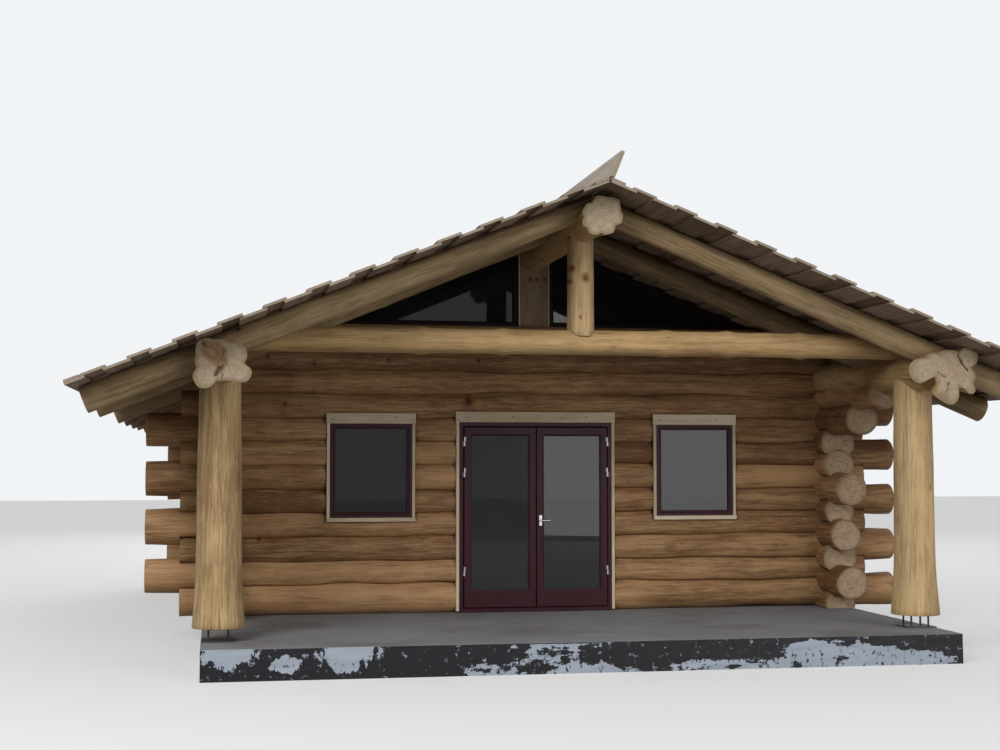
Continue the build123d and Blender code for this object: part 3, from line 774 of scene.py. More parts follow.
def girth_of(log):
    """Extra radius of a log at a place along it: slow waves, from the height of its course."""
    course = int(round(log["z"] * 1000))
    return lambda s, a0: smooth_waves(course, s + a0, (0.13, 0.31, 0.75), GIRTH_WAVE)


def flat_cuts(log, wall, boards, holes):
    """Clip for one log: the boards' seats, roof plane, floor, the wall's flat top and the openings."""
    run, outward = WALLS[wall]
    a, c = AXES[run]

    def clip(points):
        points = points.copy()
        along = points[:, a]
        z = points[:, 2]
        for lo, hi in boards:
            near = ((along > lo[a] - SEAT_ROOM) & (along < hi[a] + SEAT_ROOM)
                    & (z > lo[2] - SEAT_ROOM) & (z < hi[2] + SEAT_ROOM))
            face = max(outward * lo[c], outward * hi[c])
            inner = outward * np.minimum(outward * points[:, c], face - SEAT_DEPTH)
            points[:, c] = np.where(near, inner, points[:, c])
        z = np.minimum(z, deck_under(points[:, 0]) - EDGE)
        z = np.maximum(z, floor_z + EDGE / 2)
        if log["top"] < log["z"] + log["r"] - 0.02:
            z = np.minimum(z, log["top"])
        for h0, h1, bottom, top in holes:
            within = (along > h0) & (along < h1)
            kept = np.minimum(z, bottom) if log["z"] < (bottom + top) / 2 else np.maximum(z, top)
            z = np.where(within, kept, z)
        return np.stack((points[:, 0], points[:, 1], z), -1)

    return clip


def wall_log(pile, log, wall, logs, boards, openings):
    """One log of a wall, whose logs, boards and openings are given."""
    run, outward = WALLS[wall]
    a0, a1, z, r = (log[key] for key in ("a0", "a1", "z", "r"))
    holes = [h for h in openings if h[0] > a0 + 0.1 and h[1] < a1 - 0.1 and z - r < h[3] and z + r > h[2]]
    stations = [edge - a0 for h in holes for edge in h[:2]]
    under = [q for q in logs if COURSE_GAP[0] < z - q["z"] < COURSE_GAP[1]]
    groove = None
    if under:
        lower = girth_of(under[0])
        groove = {"below": z - under[0]["z"], "radius": under[0]["r"], "girth": lambda s: lower(s, a0),
                  "from": min(q["a0"] for q in under) - a0, "to": max(q["a1"] for q in under) - a0}
        stations += [groove["from"], groove["to"]]
    own = girth_of(log)
    seed = int(abs(z * 1000) + abs(a0) * 37 + (0 if run == "x" else 500) + 7 * outward)
    ends = [(a, log["c"], z) if run == "x" else (log["c"], a, z) for a in (a0, a1)]
    round_timber(pile, *ends, r, seed, taper=0.0, groove=groove, stations=stations,
                 clip=flat_cuts(log, wall, boards, holes), girth=lambda s: own(s, a0))


for wall, (run, _) in WALLS.items():
    boards, openings = boards_of(wall), openings_of(wall)
    both = {word: read_logs(f"{wall}_wall_{word}_logs", run) for word in ("even", "odd")}
    for word, logs in both.items():
        pile = Pile()
        for log in logs:
            wall_log(pile, log, wall, both["even"] + both["odd"], boards, openings)
        stand_for(pile, f"{wall}_logs_{word}", "cabin", [f"{wall}_wall_{word}_logs"], log_wood)

# %% [markdown]
# The ridge log and the two eave plates are whole trunks laid with their root ends forward. There the
# trunk swells into the root lobes, and the chain saw cut straight through them. The lobed outline is
# the smooth union of a few circles: along a ray u from the axis, a circle of radius r about c is met at
# c.u + sqrt(r^2 - c.c + (c.u)^2), and the distances are blended by a high power mean.

# %% Ridge log and eave plates
SCALLOP, SHARP = 0.003, 20.0
RIDGE_R, PLATE_R, PLATE_X = 0.150, 0.200, 3.620
ridge_z, plate_z = floor_z + 4.120, floor_z + 2.700
# Circles of each butt: sideways, upwards, radius
RIDGE_LOBES = [
    (0.0, 0.01, 0.155), (-0.078, -0.115, 0.082), (0.048, -0.112, 0.082), (-0.155, -0.070, 0.052),
    (-0.120, 0.030, 0.088), (0.128, -0.020, 0.082), (0.085, 0.085, 0.095), (-0.020, 0.110, 0.086)]
LEFT_LOBES = [
    (-0.020, -0.030, 0.190), (0.115, 0.020, 0.128), (0.202, -0.146, 0.086), (0.090, -0.125, 0.100),
    (-0.150, -0.182, 0.108), (-0.128, -0.030, 0.113), (-0.140, 0.090, 0.104), (-0.020, 0.065, 0.110)]
RIGHT_LOBES = [
    (-0.330, -0.054, 0.128), (0.010, -0.035, 0.195), (-0.175, 0.020, 0.110), (0.196, 0.090, 0.106),
    (0.165, -0.115, 0.118), (0.228, -0.240, 0.052), (-0.010, -0.290, 0.106), (-0.110, -0.275, 0.062)]


def lobed(circles, reach, base):
    """Shape for round_timber: lobes at the start that fade into the round trunk over reach."""

    def shape(S, A, R):
        u = np.stack((np.sin(A), -np.cos(A)), -1)
        total = np.zeros_like(A)
        for x, z, r in circles:
            c = np.array((x, z))
            cu = u @ c
            room = r * r - c @ c + cu * cu
            met = np.where(room > 0, cu + np.sqrt(np.clip(room, 0, None)), 0.0)
            total = total + np.clip(met, 0.02, None) ** SHARP
        outline = total ** (1.0 / SHARP) * len(circles) ** (-0.25 / SHARP)
        outline = outline + SCALLOP * np.sin(11 * A + 1.0) + 0.7 * SCALLOP * np.sin(17 * A)
        fade = np.exp(-(S / reach) ** 1.4)
        return R + (np.maximum(outline, 0.8 * base) - base) * fade

    return shape


def roof_clip(points):
    z = np.minimum(points[:, 2], deck_under(points[:, 0]) - EDGE)
    return np.stack((points[:, 0], points[:, 1], z), -1)


def trunk(name, node, material, *timber_ends, slot="beam_wood", **shaping):
    """One round timber that stands for one CAD node."""
    pile = Pile()
    round_timber(pile, *timber_ends, **shaping)
    stand_for(pile, name, "cabin", [node], material)


lo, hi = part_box("ridge_log")
trunk("ridge_trunk", "ridge_log", beam_wood, (0, lo.y, ridge_z), (0, hi.y, ridge_z), RIDGE_R, 301, sides=96,
      taper=0.02, shape=lobed(RIDGE_LOBES, 0.30, RIDGE_R), clip=roof_clip, wave=0.004, step=0.07, tone=0.8)
for (sign, side), circles in zip(SIDES, (LEFT_LOBES, RIGHT_LOBES)):
    lo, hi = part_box(f"eave_plate_{side}")
    x = sign * PLATE_X
    trunk(f"plate_trunk_{side}", f"eave_plate_{side}", plate_woods[side], (x, lo.y, plate_z),
          (x, hi.y, plate_z), PLATE_R, 311 + sign, sides=112, shape=lobed(circles, 0.34, PLATE_R),
          clip=roof_clip, wave=0.005, step=0.07, tone=0.7)

# %% [markdown]
# Tie beam, king post and the two porch posts. The posts are the thickest trunks, peeled by hand with a
# drawknife, and they flare towards the foot. The tie beam swells where branches stood in a ring. Each
# post is scribed to the round of the log that it meets, so its end is cut to that log's circle.

# %% Truss and posts
TIE_R, KING_R, POST_R = 0.130, 0.138, 0.215
POST_Y = -2.460
WHORLS_AT = (-1.641, -0.809, 0.892, 1.554, 2.348)
WHORL_SWELL, WHORL_REACH = 0.015, 0.055
POST_HEIGHTS = [0, 0.05, 0.15, 0.30, 0.50, 0.90]
POST_RADII = [0.256, 0.252, 0.243, 0.230, 0.221, 0.215, 0.199]
tie_z = floor_z + 2.950


def against_log(points, across, centre, z, r, way):
    """Limit heights to a round log's surface, for a log over the piece (way -1) or under it (way 1)."""
    off = points[:, across] - centre
    limit = z + way * np.sqrt(np.clip(r * r - off * off, 0, None)) - way * 0.004
    points[:, 2] = way * np.maximum(way * points[:, 2], way * limit)
    return points


def king_clip(points):
    points = against_log(points, 0, 0.0, ridge_z, RIDGE_R, -1)
    return against_log(points, 1, POST_Y, tie_z, TIE_R, 1)


lo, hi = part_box("tie_beam")
whorls = np.array(WHORLS_AT) - lo.x
trunk("tie_log", "tie_beam", beam_wood, (lo.x, POST_Y, tie_z), (hi.x, POST_Y, tie_z), TIE_R, 321, sides=34,
      taper=-0.07, step=0.05, clip=roof_clip, wave=0.004, tone=0.75,
      girth=lambda s: WHORL_SWELL * np.exp(-((s[..., None] - whorls) / WHORL_REACH) ** 2).sum(axis=-1))
lo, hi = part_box("king_post")
trunk("king_trunk", "king_post", king_wood, (0, POST_Y, lo.z), (0, POST_Y, hi.z), KING_R, 323,
      up=(0, -1, 0), sides=36, taper=0.02, step=0.06, wave=0.004, tone=0.7, clip=king_clip)
for sign, side in SIDES:
    lo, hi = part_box(f"porch_post_{side}")
    x = sign * PLATE_X
    trunk(f"post_trunk_{side}", f"porch_post_{side}", post_wood, (x, POST_Y, lo.z), (x, POST_Y, hi.z),
          POST_R, 331 + sign, slot="post_wood", up=(0, -1, 0), sides=52, step=0.06, wave=0.005,
          profile=(POST_HEIGHTS + [hi.z - lo.z], POST_RADII), tone=0.55 + 0.2 * sign,
          clip=lambda points: against_log(points, 0, x, plate_z, PLATE_R, -1))

# %% [markdown]
# Rafters are thinner poles, laid with their thick ends down at the eaves. Their top side lies along the
# boards, so the axis is always one radius below the roof plane.

# %% Rafters
RAFTER_TOP_R, RAFTER_FOOT_R, RAFTER_RUN = 0.108, 0.134, 4.93


def rafter_pole(pile, sign, y, seed):
    length = RAFTER_RUN / math.cos(pitch_angle)
    down, normal = slope_axes(sign)
    top = np.array((0.0, y, deck_apex - EDGE))
    start = top - normal * RAFTER_TOP_R + down * 0.004
    end = top + down * length - normal * RAFTER_FOOT_R
    mean = (RAFTER_TOP_R + RAFTER_FOOT_R) / 2

    def clip(points):
        points = roof_clip(points)
        points[:, 0] = sign * np.maximum(sign * points[:, 0], 0.002)
        return points

    round_timber(pile, start, end, mean, seed, up=normal, sides=26, wave=0.004, crook=0.006, clip=clip,
                 step=0.1, taper=(RAFTER_TOP_R - RAFTER_FOOT_R) / mean)


for sign, side in SIDES:
    front, others = f"front_rafter_{side}", f"rafters_{side}"
    for name, node, spans, first_seed in (("barge_pole", front, [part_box(front)], 341),
                                          ("rafter_poles", others, spans_of(others), 351)):
        pile = Pile()
        for n, (lo, hi) in enumerate(spans):
            rafter_pole(pile, sign, (lo[1] + hi[1]) / 2, first_seed + 10 * n + sign)
        stand_for(pile, f"{name}_{side}", "cabin", [node], rafter_wood)

# %% [markdown]
# Sawn timber is a rectangle with eased edges carried along a straight line. Its ends are sawn square.


# %% Sawn boards
def plank(pile, start, end, across, width, thick, seed, ease=0.003, step=0.5):
    """Board from start to end; across is the direction of its width, and thickness is square to both."""
    start, end, across = (np.array(v, float) for v in (start, end, across))
    length = np.linalg.norm(end - start)
    along = (end - start) / length
    across = across - along * (across @ along)
    across = across / np.linalg.norm(across)
    up = np.cross(along, across)
    r = np.random.default_rng(seed)
    w, t, e = width / 2, thick / 2, ease
    outline = np.array([(-w + e, -t), (w - e, -t), (w, -t + e), (w, t - e),
                        (w - e, t), (-w + e, t), (-w, t - e), (-w, -t + e)])
    s = np.linspace(0, length, max(1, int(length / step)) + 1)
    centre = start + s[:, None] * along
    grid = centre[:, None, :] + outline[:, 0, None] * across + outline[:, 1, None] * up
    n, m = grid.shape[:2]
    shift = r.uniform(0, 90, 2)
    quads, uvs = tube_faces(n, m, s + shift[0], outline_lengths(outline) + shift[1])
    # Each end is three quads over the eight corners
    fans = np.array(((0, 1, 2, 7), (7, 2, 3, 6), (6, 3, 4, 5)))
    far = fans[:, ::-1]
    quads = np.concatenate((quads, far, fans + (n - 1) * m))
    off = r.uniform(0.05, 0.12)
    uvs = np.concatenate((uvs, outline[far] + off, outline[fans] + off))
    pile.add(grid.reshape(-1, 3), quads, uvs, np.arange(len(quads)) >= (n - 1) * m, r.uniform())


def solid_as_plank(pile, points, seed):
    """Plank of the size of a box-shaped solid, along its longest side."""
    lo, hi = span(points)
    size = hi - lo
    thin, wide, long = np.argsort(size)
    middle, reach = (lo + hi) / 2, np.eye(3)[long] * size[long] / 2
    plank(pile, middle - reach, middle + reach, np.eye(3)[wide], size[wide], size[thin], seed)


print("boards of the front openings:", len(solids_of("front_opening_trim")))

# %% [markdown]
# The roof is boarded twice, front to back: a lower layer with wide gaps, and an upper layer that covers
# the gaps. From below it shows as a row of broad steps, and its front edge is a sawtooth, because the
# ends were not trimmed to one line. Each run of the roof's length is three boards end to end.

# %% Roof boards
BOARD_PITCH, FIRST_AT = 0.4302, 0.14
LOWER_W, UPPER_W, RIDGE_W = 0.255, 0.235, 0.142
LOWER_H = 0.0005
layer = deck_thick / 2
slope_length = (deck_eave_x - slab_lo[0]) / math.cos(pitch_angle)
roof_paint = timber("roof_board_wood", (0.115, 0.076, 0.050), (0.275, 0.200, 0.142), (0.26, 0.21, 0.155),
                    (0.44, 0.37, 0.29), knots=0.8, cracks=0.3, tool=0.15, rough=0.75, star_size=0.0)


def roof_run(pile, sign, at, width, height, seed):
    """One run of boards, at metres down the slope, with its underside height above the roof plane."""
    r = np.random.default_rng(seed)
    down, normal = slope_axes(sign)
    middle = np.array((0.0, 0.0, deck_apex)) + down * at + normal * (height + layer / 2)
    joints = [deck_y0 + r.uniform(0.0, 0.035), deck_y0 + r.uniform(3.4, 4.6), deck_y0 + r.uniform(7.4, 8.8),
              deck_y1 - r.uniform(0.0, 0.05)]
    for a, b in zip(joints[:-1], joints[1:]):
        plank(pile, middle + (0, a, 0), middle + (0, b - 0.003, 0), down, width + r.uniform(-0.012, 0.012),
              layer - 0.001, seed + int(a * 10) + 50, step=0.8)


for sign, side in SIDES:
    pile = Pile()
    count = int(slope_length / BOARD_PITCH)
    for n in range(count):
        roof_run(pile, sign, FIRST_AT + n * BOARD_PITCH, LOWER_W, LOWER_H, 400 + 20 * n + sign)
    for n in range(count):
        roof_run(pile, sign, FIRST_AT + (n + 0.5) * BOARD_PITCH, UPPER_W, layer, 700 + 20 * n + sign)
    roof_run(pile, sign, 0.072, RIDGE_W, layer, 990 + sign)
    # The last boards at the eave are narrower, and end in line with the slab
    lower_edge = FIRST_AT + count * BOARD_PITCH - LOWER_W / 2
    upper_edge = FIRST_AT + (count - 0.5) * BOARD_PITCH + UPPER_W / 2 + 0.008
    for edge, height, seed in ((lower_edge, LOWER_H, 980), (upper_edge, layer, 970)):
        width = slope_length - 0.016 - edge
        roof_run(pile, sign, edge + width / 2, width, height, seed + sign)
    stand_for(pile, f"roof_planks_{side}", "cabin", [f"roof_boards_{side}"], roof_paint)

# %% [markdown]
# Every window and door stands in a side of the house. A small class keeps that side's directions, so
# that one set of functions can make the joinery for all four: u runs to the right as seen from outside,
# v runs up, and d outwards.

# %% Sides of the house
HOUSE_SIDES = {"front": (0, -1, 0), "back": (0, 1, 0), "left": (-1, 0, 0), "right": (1, 0, 0)}


class Side:
    """Plane with run, up and out directions; its point (u, v, d) is origin + u run + v up + d out."""

    def __init__(self, origin, outward):
        self.origin = np.array(origin, float)
        self.out = np.array(outward, float)
        self.up = np.array((0.0, 0.0, 1.0))
        self.run = np.cross(self.up, self.out)

    def at(self, u, v, d):
        u, v, d = (np.asarray(q, float)[..., None] for q in (u, v, d))
        return self.origin + u * self.run + v * self.up + d * self.out


def placed(wall, points):
    """Side with its origin at the middle of a solid's outer face at its lowest edge, and its sizes."""
    lo, hi = span(points)
    out = np.array(HOUSE_SIDES[wall], float)
    middle = (lo + hi) / 2
    middle[2] = lo[2]
    origin = np.where(out != 0, np.where(out > 0, hi, lo), middle)
    side = Side(origin, out)
    size = hi - lo
    return side, float(abs(side.run @ size)), float(size[2]), float(abs(side.out @ size))


def mitred(pile, side, corners, profile, tone=0.5, seed=0):
    """Profile carried round a closed path: each profile point is (inset, depth), and at each corner the
    inset goes along the mitre, which is the sum of the two inward normals over one plus their product."""
    corners, profile = np.array(corners, float), np.array(profile, float)
    edge = np.roll(corners, -1, 0) - corners
    size = np.hypot(*edge.T)[:, None]
    inward = np.stack((-edge[:, 1], edge[:, 0]), -1) / size
    before = np.roll(inward, 1, 0)
    mitre = (inward + before) / (1 + (inward * before).sum(1))[:, None]
    flat = corners[:, None, :] + mitre[:, None, :] * profile[None, :, :1]
    grid = side.at(flat[..., 0], flat[..., 1], np.broadcast_to(profile[:, 1], flat.shape[:2]))
    n, m = grid.shape[:2]
    quads, i, j = closed_faces(n, m)
    k = (j + 1) % m
    around = outline_lengths(profile) + 7.3 * seed
    unit, shift = (edge / size)[:, None, :], 1.7 * np.arange(n)[:, None]
    here = (flat * unit).sum(-1) + shift
    ahead = (np.roll(flat, -1, 0) * unit).sum(-1) + shift
    v0, v1 = around[j], around[j + 1]
    uvs = np.stack((here[i, j], v0, ahead[i, j], v0, ahead[i, k], v1, here[i, k], v1), -1).reshape(-1, 4, 2)
    pile.add(grid.reshape(-1, 3), quads, uvs, tone=tone)


def rectangle(u0, u1, v0, v1):
    return [(u0, v0), (u1, v0), (u1, v1), (u0, v1)]


def bar_profile(width, depth, lip, ease=0.003):
    """Profile of a frame bar: eased edges and, at the inner edge, a lip that slopes to the pane."""
    return [(0.0, -ease), (ease, 0.0), (width - ease - lip, 0.0), (width - lip, -ease),
            (width, -ease - lip), (width, -depth), (0.0, -depth)]


print("sides of the house:", ", ".join(HOUSE_SIDES))

# %% [markdown]
# The joinery is painted a dark wine red, with a faint grain and worn spots, and the gable's frames are
# nearly black. The panes are glossy sheets made near black and partly opaque, as painted shade of the dim
# room behind them.


# %% Joinery paint and glass
def joinery(name, dark, light, sheen):
    paint = Paint(name, Specular_IOR_Level=sheen)
    u, v, _ = paint.parts(paint.place("UV"))
    grain = paint.noise((u * 2.0, v * 60.0))
    cloud = paint.noise((u * 1.5, v * 3.0, 4.0))
    wear = paint.noise((u * 7.0, v * 25.0, 8.0), 1.0, 4.0)
    colour = paint.mix((grain * 0.4 + cloud * 0.6).band(0.3, 0.75), dark, light)
    colour = paint.mix(wear.band(0.66, 0.80) * 0.35, colour, (0.10, 0.040, 0.035))
    return paint.finish(Base_Color=colour, Roughness=grain * 0.15 + cloud * 0.18 + 0.28,
                        Normal=paint.bump(grain * 0.0006 + wear * 0.0004))


# Panes: the near black, partly opaque colour is painted shade of the unlit room behind
def shaded_pane_paint(name, tint):
    paint = Paint(name, Metallic=0.0, Transmission_Weight=0.45, IOR=1.5, Specular_IOR_Level=0.16)
    smear = paint.noise(paint.place("Object"), 3.0, 4.0)
    colour = paint.mix(smear.band(0.35, 0.7), tint, scaled(tint, 1.25))
    return paint.finish(Base_Color=colour, Roughness=smear.band(0.45, 0.8) * 0.06 + 0.01)


def repaint(nodes, material):
    """Give CAD nodes that keep their own shape a material."""
    for node in nodes:
        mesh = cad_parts[node].data
        mesh.materials.clear()
        mesh.materials.append(material)
    print(material.name, "on", ", ".join(nodes))


wine = joinery("wine_joinery", (0.019, 0.0030, 0.0055), (0.046, 0.0080, 0.0140), 0.18)
gable_paint = joinery("gable_joinery", (0.012, 0.006, 0.006), (0.024, 0.011, 0.010), 0.06)
glass = shaded_pane_paint("window_glass", (0.014, 0.017, 0.020))
repaint([f"{wall}_window_glass" for wall in HOUSE_SIDES]
        + [f"{part}_glass_{end}" for part, end in (("door", "left"), ("door", "right"), ("gable", "front"),
                                                   ("gable", "back"))], glass)

# %% [markdown]
# A window is a mitred frame with a narrower casement inside it, and the door has a frame and two leaves.
# A leaf has a taller rail at the foot than at the head, so its bars are one grid between two rectangles.

# %% Windows and door
FRAME_BAR, FRAME_LIP, LAP = 0.040, 0.004, 0.001
DOOR_BAR, DOOR_LIP = 0.052, 0.006
# Each point of a leaf's profile: from the outer edge or the pane's edge, inwards, and its depth
LEAF_PROFILE = [("outer", 0.0, -0.003), ("outer", 0.003, 0.0), ("pane", -0.022, 0.0),
                ("pane", -0.018, -0.005), ("pane", -0.004, -0.009), ("pane", 0.0, -0.014)]
for wall in HOUSE_SIDES:
    pile = Pile()
    for n, points in enumerate(solids_of(f"{wall}_window_frames")):
        side, w, h, depth = placed(wall, points)
        mitred(pile, side, rectangle(-w / 2, w / 2, 0, h), bar_profile(FRAME_BAR, depth, FRAME_LIP), 0.5, n)
        inner = FRAME_BAR - LAP
        mitred(pile, side, rectangle(-w / 2 + inner, w / 2 - inner, inner, h - inner),
               [(0, -0.012), (0.003, -0.008), (0.016, -0.008), (0.022, -0.016), (0.022, -depth), (0, -depth)],
               0.6, n + 5)
    stand_for(pile, f"{wall}_casements", "cabin", [f"{wall}_window_frames"], wine)

pile = Pile()
side, w, h, depth = placed("front", solids_of("door_frame")[0])
mitred(pile, side, rectangle(-w / 2, w / 2, 0, h), bar_profile(DOOR_BAR, depth, DOOR_LIP))
stand_for(pile, "door_casing", "cabin", ["door_frame"], wine)

for _, hand in SIDES:
    pile = Pile()
    side, w, h, depth = placed("front", solids_of(f"door_leaf_{hand}")[0])
    pane_lo, pane_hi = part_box(f"door_glass_{hand}")
    leaf_lo, leaf_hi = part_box(f"door_leaf_{hand}")
    stile = pane_lo.x - leaf_lo.x
    low, high = pane_lo.z - leaf_lo.z, leaf_hi.z - pane_hi.z
    grid = []
    for outer, pane in zip(rectangle(-w / 2, w / 2, 0, h),
                           rectangle(-w / 2 + stile, w / 2 - stile, low, h - high)):
        inwards = np.sign(np.subtract(pane, outer))
        row = [(*(np.array(outer if edge == "outer" else pane) + inset * inwards), d)
               for edge, inset, d in LEAF_PROFILE]
        grid.append([side.at(*p) for p in row + [(*pane, -depth), (*outer, -depth)]])
    grid = np.array(grid)
    n, m = grid.shape[:2]
    quads, _, _ = closed_faces(n, m)
    points = grid.reshape(-1, 3)
    upright = np.stack((points @ side.up, points @ side.run), -1)
    level = np.stack((points @ side.run + 20, points @ side.up), -1)
    uvs = np.where((quads[:, :1] // m % 2 == 0)[..., None], level[quads], upright[quads])
    pile.add(points, quads, uvs)
    stand_for(pile, f"leaf_joinery_{hand}", f"{hand}_leaf", [f"door_leaf_{hand}"], wine)

# %% [markdown]
# The lintel, sill and side boards round each opening are new sawn pine, the palest wood on the house.
# Each solid of those nodes is made again as a plank of its own size. Screws hold the lintel boards.

# %% Trim boards
SCREW_R = 0.008
trim_wood = timber("trim_wood", (0.400, 0.320, 0.215), (0.640, 0.545, 0.405), (0.36, 0.28, 0.18),
                   (0.54, 0.44, 0.31), knots=0.5, cracks=0.15, tool=0.0)


def screw_head(pile, side, u, v, seed):
    """Round head with a sunk middle: rings of a revolved profile (radius, height), set into the board."""
    profile = np.array([(1.0, -0.004), (1.0, 0.0012), (0.80, 0.0030), (0.45, 0.0034), (0.38, 0.0006)])
    turn = np.linspace(0, 2 * np.pi, 13)[:-1]
    rings = side.at(u + SCREW_R * profile[:, :1] * np.cos(turn), v + SCREW_R * profile[:, :1] * np.sin(turn),
                    profile[:, 1:] + 0 * turn)
    lofted(pile, rings, seed=seed)


screws = Pile()
for wall in HOUSE_SIDES:
    pile = Pile()
    for n, points in enumerate(solids_of(f"{wall}_opening_trim")):
        solid_as_plank(pile, points, 1200 + 31 * n + len(wall))
        side, w, h, depth = placed(wall, points)
        if 0.1 < h < 0.3:
            spots = [-w / 2 + 0.075, w / 2 - 0.24] if w < 1.4 else [-w / 2 + 0.13, -0.28, 0.31, w / 2 - 0.34]
            for k, u in enumerate(spots):
                screw_head(screws, side, u, h * (0.42 + 0.12 * (k % 2)), 7 * n + k)
    if wall == "front":
        lo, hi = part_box("door_frame")
        for x in (lo.x - STRIP_W / 2, hi.x + STRIP_W / 2):
            plank(pile, (x, lo.y + 0.017, floor_z + 0.02), (x, lo.y + 0.017, hi.z), (1, 0, 0), STRIP_W, 0.034,
                  1290 + int(x > 0))
    stand_for(pile, f"{wall}_trim_boards", "cabin", [f"{wall}_opening_trim"], trim_wood)

# %% [markdown]
# The ridge board stands on edge along the roof's right side of the ridge. In each gable a sawn post stands
# between two triangles of glass, and thin pale strips along its eased front corners are painted highlights.

# %% Ridge board and gables
GABLE_KNOTS = [(-0.047, 4.165, 0.022), (0.033, 4.166, 0.022), (0.130, 4.168, 0.022)]
GABLE_BAR = [(0, -0.002), (0.002, 0), (0.044, 0), (0.048, -0.004), (0.060, -0.012), (0.060, -0.090),
             (0, -0.090)]
pile = Pile()
lo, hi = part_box("ridge_board")
corners = solids_of("ridge_board")[0]
front = corners[corners[:, 1] < lo.y + 0.01]
front = front[np.argsort(front[:, 2])]
foot, head = front[:2].mean(axis=0), front[2:].mean(axis=0)
middle = (foot + head) / 2
plank(pile, middle, middle + (0, hi.y - lo.y, 0), head - foot, np.linalg.norm(head - foot) - 0.001, 0.039,
      1300, ease=0.004, step=0.6)
ridge_board_wood = timber("ridge_board_wood", (0.250, 0.205, 0.165), (0.440, 0.375, 0.310),
                          (0.26, 0.21, 0.155), (0.46, 0.37, 0.27), knots=0.5, cracks=0.3, tool=0.1,
                          rough=0.72, star_size=0.0)
stand_for(pile, "ridge_plank", "cabin", ["ridge_board"], ridge_board_wood)

gable_wood = timber("gable_post_wood", (0.120, 0.080, 0.046), (0.250, 0.180, 0.112), (0.34, 0.24, 0.14),
                    (0.52, 0.42, 0.28), knots=0.2, cracks=0.2, tool=0.2, scuffs=0.3, along="z",
                    marks=GABLE_KNOTS, marks_back=0.0)
for end, outward in (("front", -1), ("back", 1)):
    lo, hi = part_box(f"gable_post_{end}")
    half = hi.x
    outline = eased([(-half, lo.z), (half, lo.z), (half, deck_under(half) - EDGE), (0, deck_apex - EDGE),
                     (-half, deck_under(half) - EDGE)], 0.008)
    middle = outline.mean(axis=0)
    depths = np.array([lo.y, lo.y + 0.006, (lo.y + hi.y) / 2, hi.y - 0.006, hi.y])
    shrink = np.array([0.985, 1.0, 1.0, 1.0, 0.985])[:, None, None]
    flat = middle + (outline - middle) * shrink
    pile = Pile()
    lofted(pile, np.stack((flat[..., 0], depths[:, None] + 0 * flat[..., 0], flat[..., 1]), -1), 0.6, 1310,
           cut_ends=0.0)
    stand_for(pile, f"gable_stud_{end}", "cabin", [f"gable_post_{end}"], gable_wood)

    # Thin strips of pale wood on the post's front corners: painted highlights
    pile = Pile()
    y = (lo.y if outward < 0 else hi.y) - outward * 0.0035
    for x in (-half + 0.010, half - 0.010):
        plank(pile, (x, y, lo.z + 0.01), (x, y, deck_under(half) - 0.16), (1, 0, 0), 0.014, 0.009,
              1320 + int(x > 0), ease=0.002)
    stand_for(pile, f"gable_stud_highlights_{end}", "cabin", [], trim_wood)

    pile = Pile()
    for lo, hi in spans_of(f"gable_frame_{end}"):
        near, tip = (lo[0], hi[0]) if lo[0] + hi[0] > 0 else (hi[0], lo[0])
        side = Side((0, outward * hi[1], 0), (0, outward, 0))
        near, tip = side.run[0] * near, side.run[0] * tip
        ring = [(near, lo[2]), (tip, lo[2]), (near, hi[2])]
        mitred(pile, side, ring if tip > near else ring[::-1], GABLE_BAR)
    stand_for(pile, f"gable_casement_{end}", "cabin", [f"gable_frame_{end}"], gable_paint)

# %% [markdown]
# The plinth is cast concrete with a white coat on its upright faces, coloured a darker blue grey as painted
# shade. Black sealing paint covers most of that coat. It leaves ragged patches bare, three of them placed at
# the front left corner, and a thin black rim at the top elsewhere. The outline is stepped every few
# centimetres, so that the upright faces can stand in and out by a few millimetres as a cast face does.

# %% Plinth
PLINTH_STEP = 0.12
PLINTH_LEVELS = [(0.0, 0.002), (0.09, 0.003), (0.18, 0.003), (0.25, 0.003), (0.292, 0.004), (0.300, 0.012)]
BARE_PATCHES = [(-3.530, 0.262, 0.270, 0.125), (-3.010, 0.150, 0.135, 0.080), (-2.440, 0.250, 0.270, 0.150)]
lo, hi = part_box("foundation")


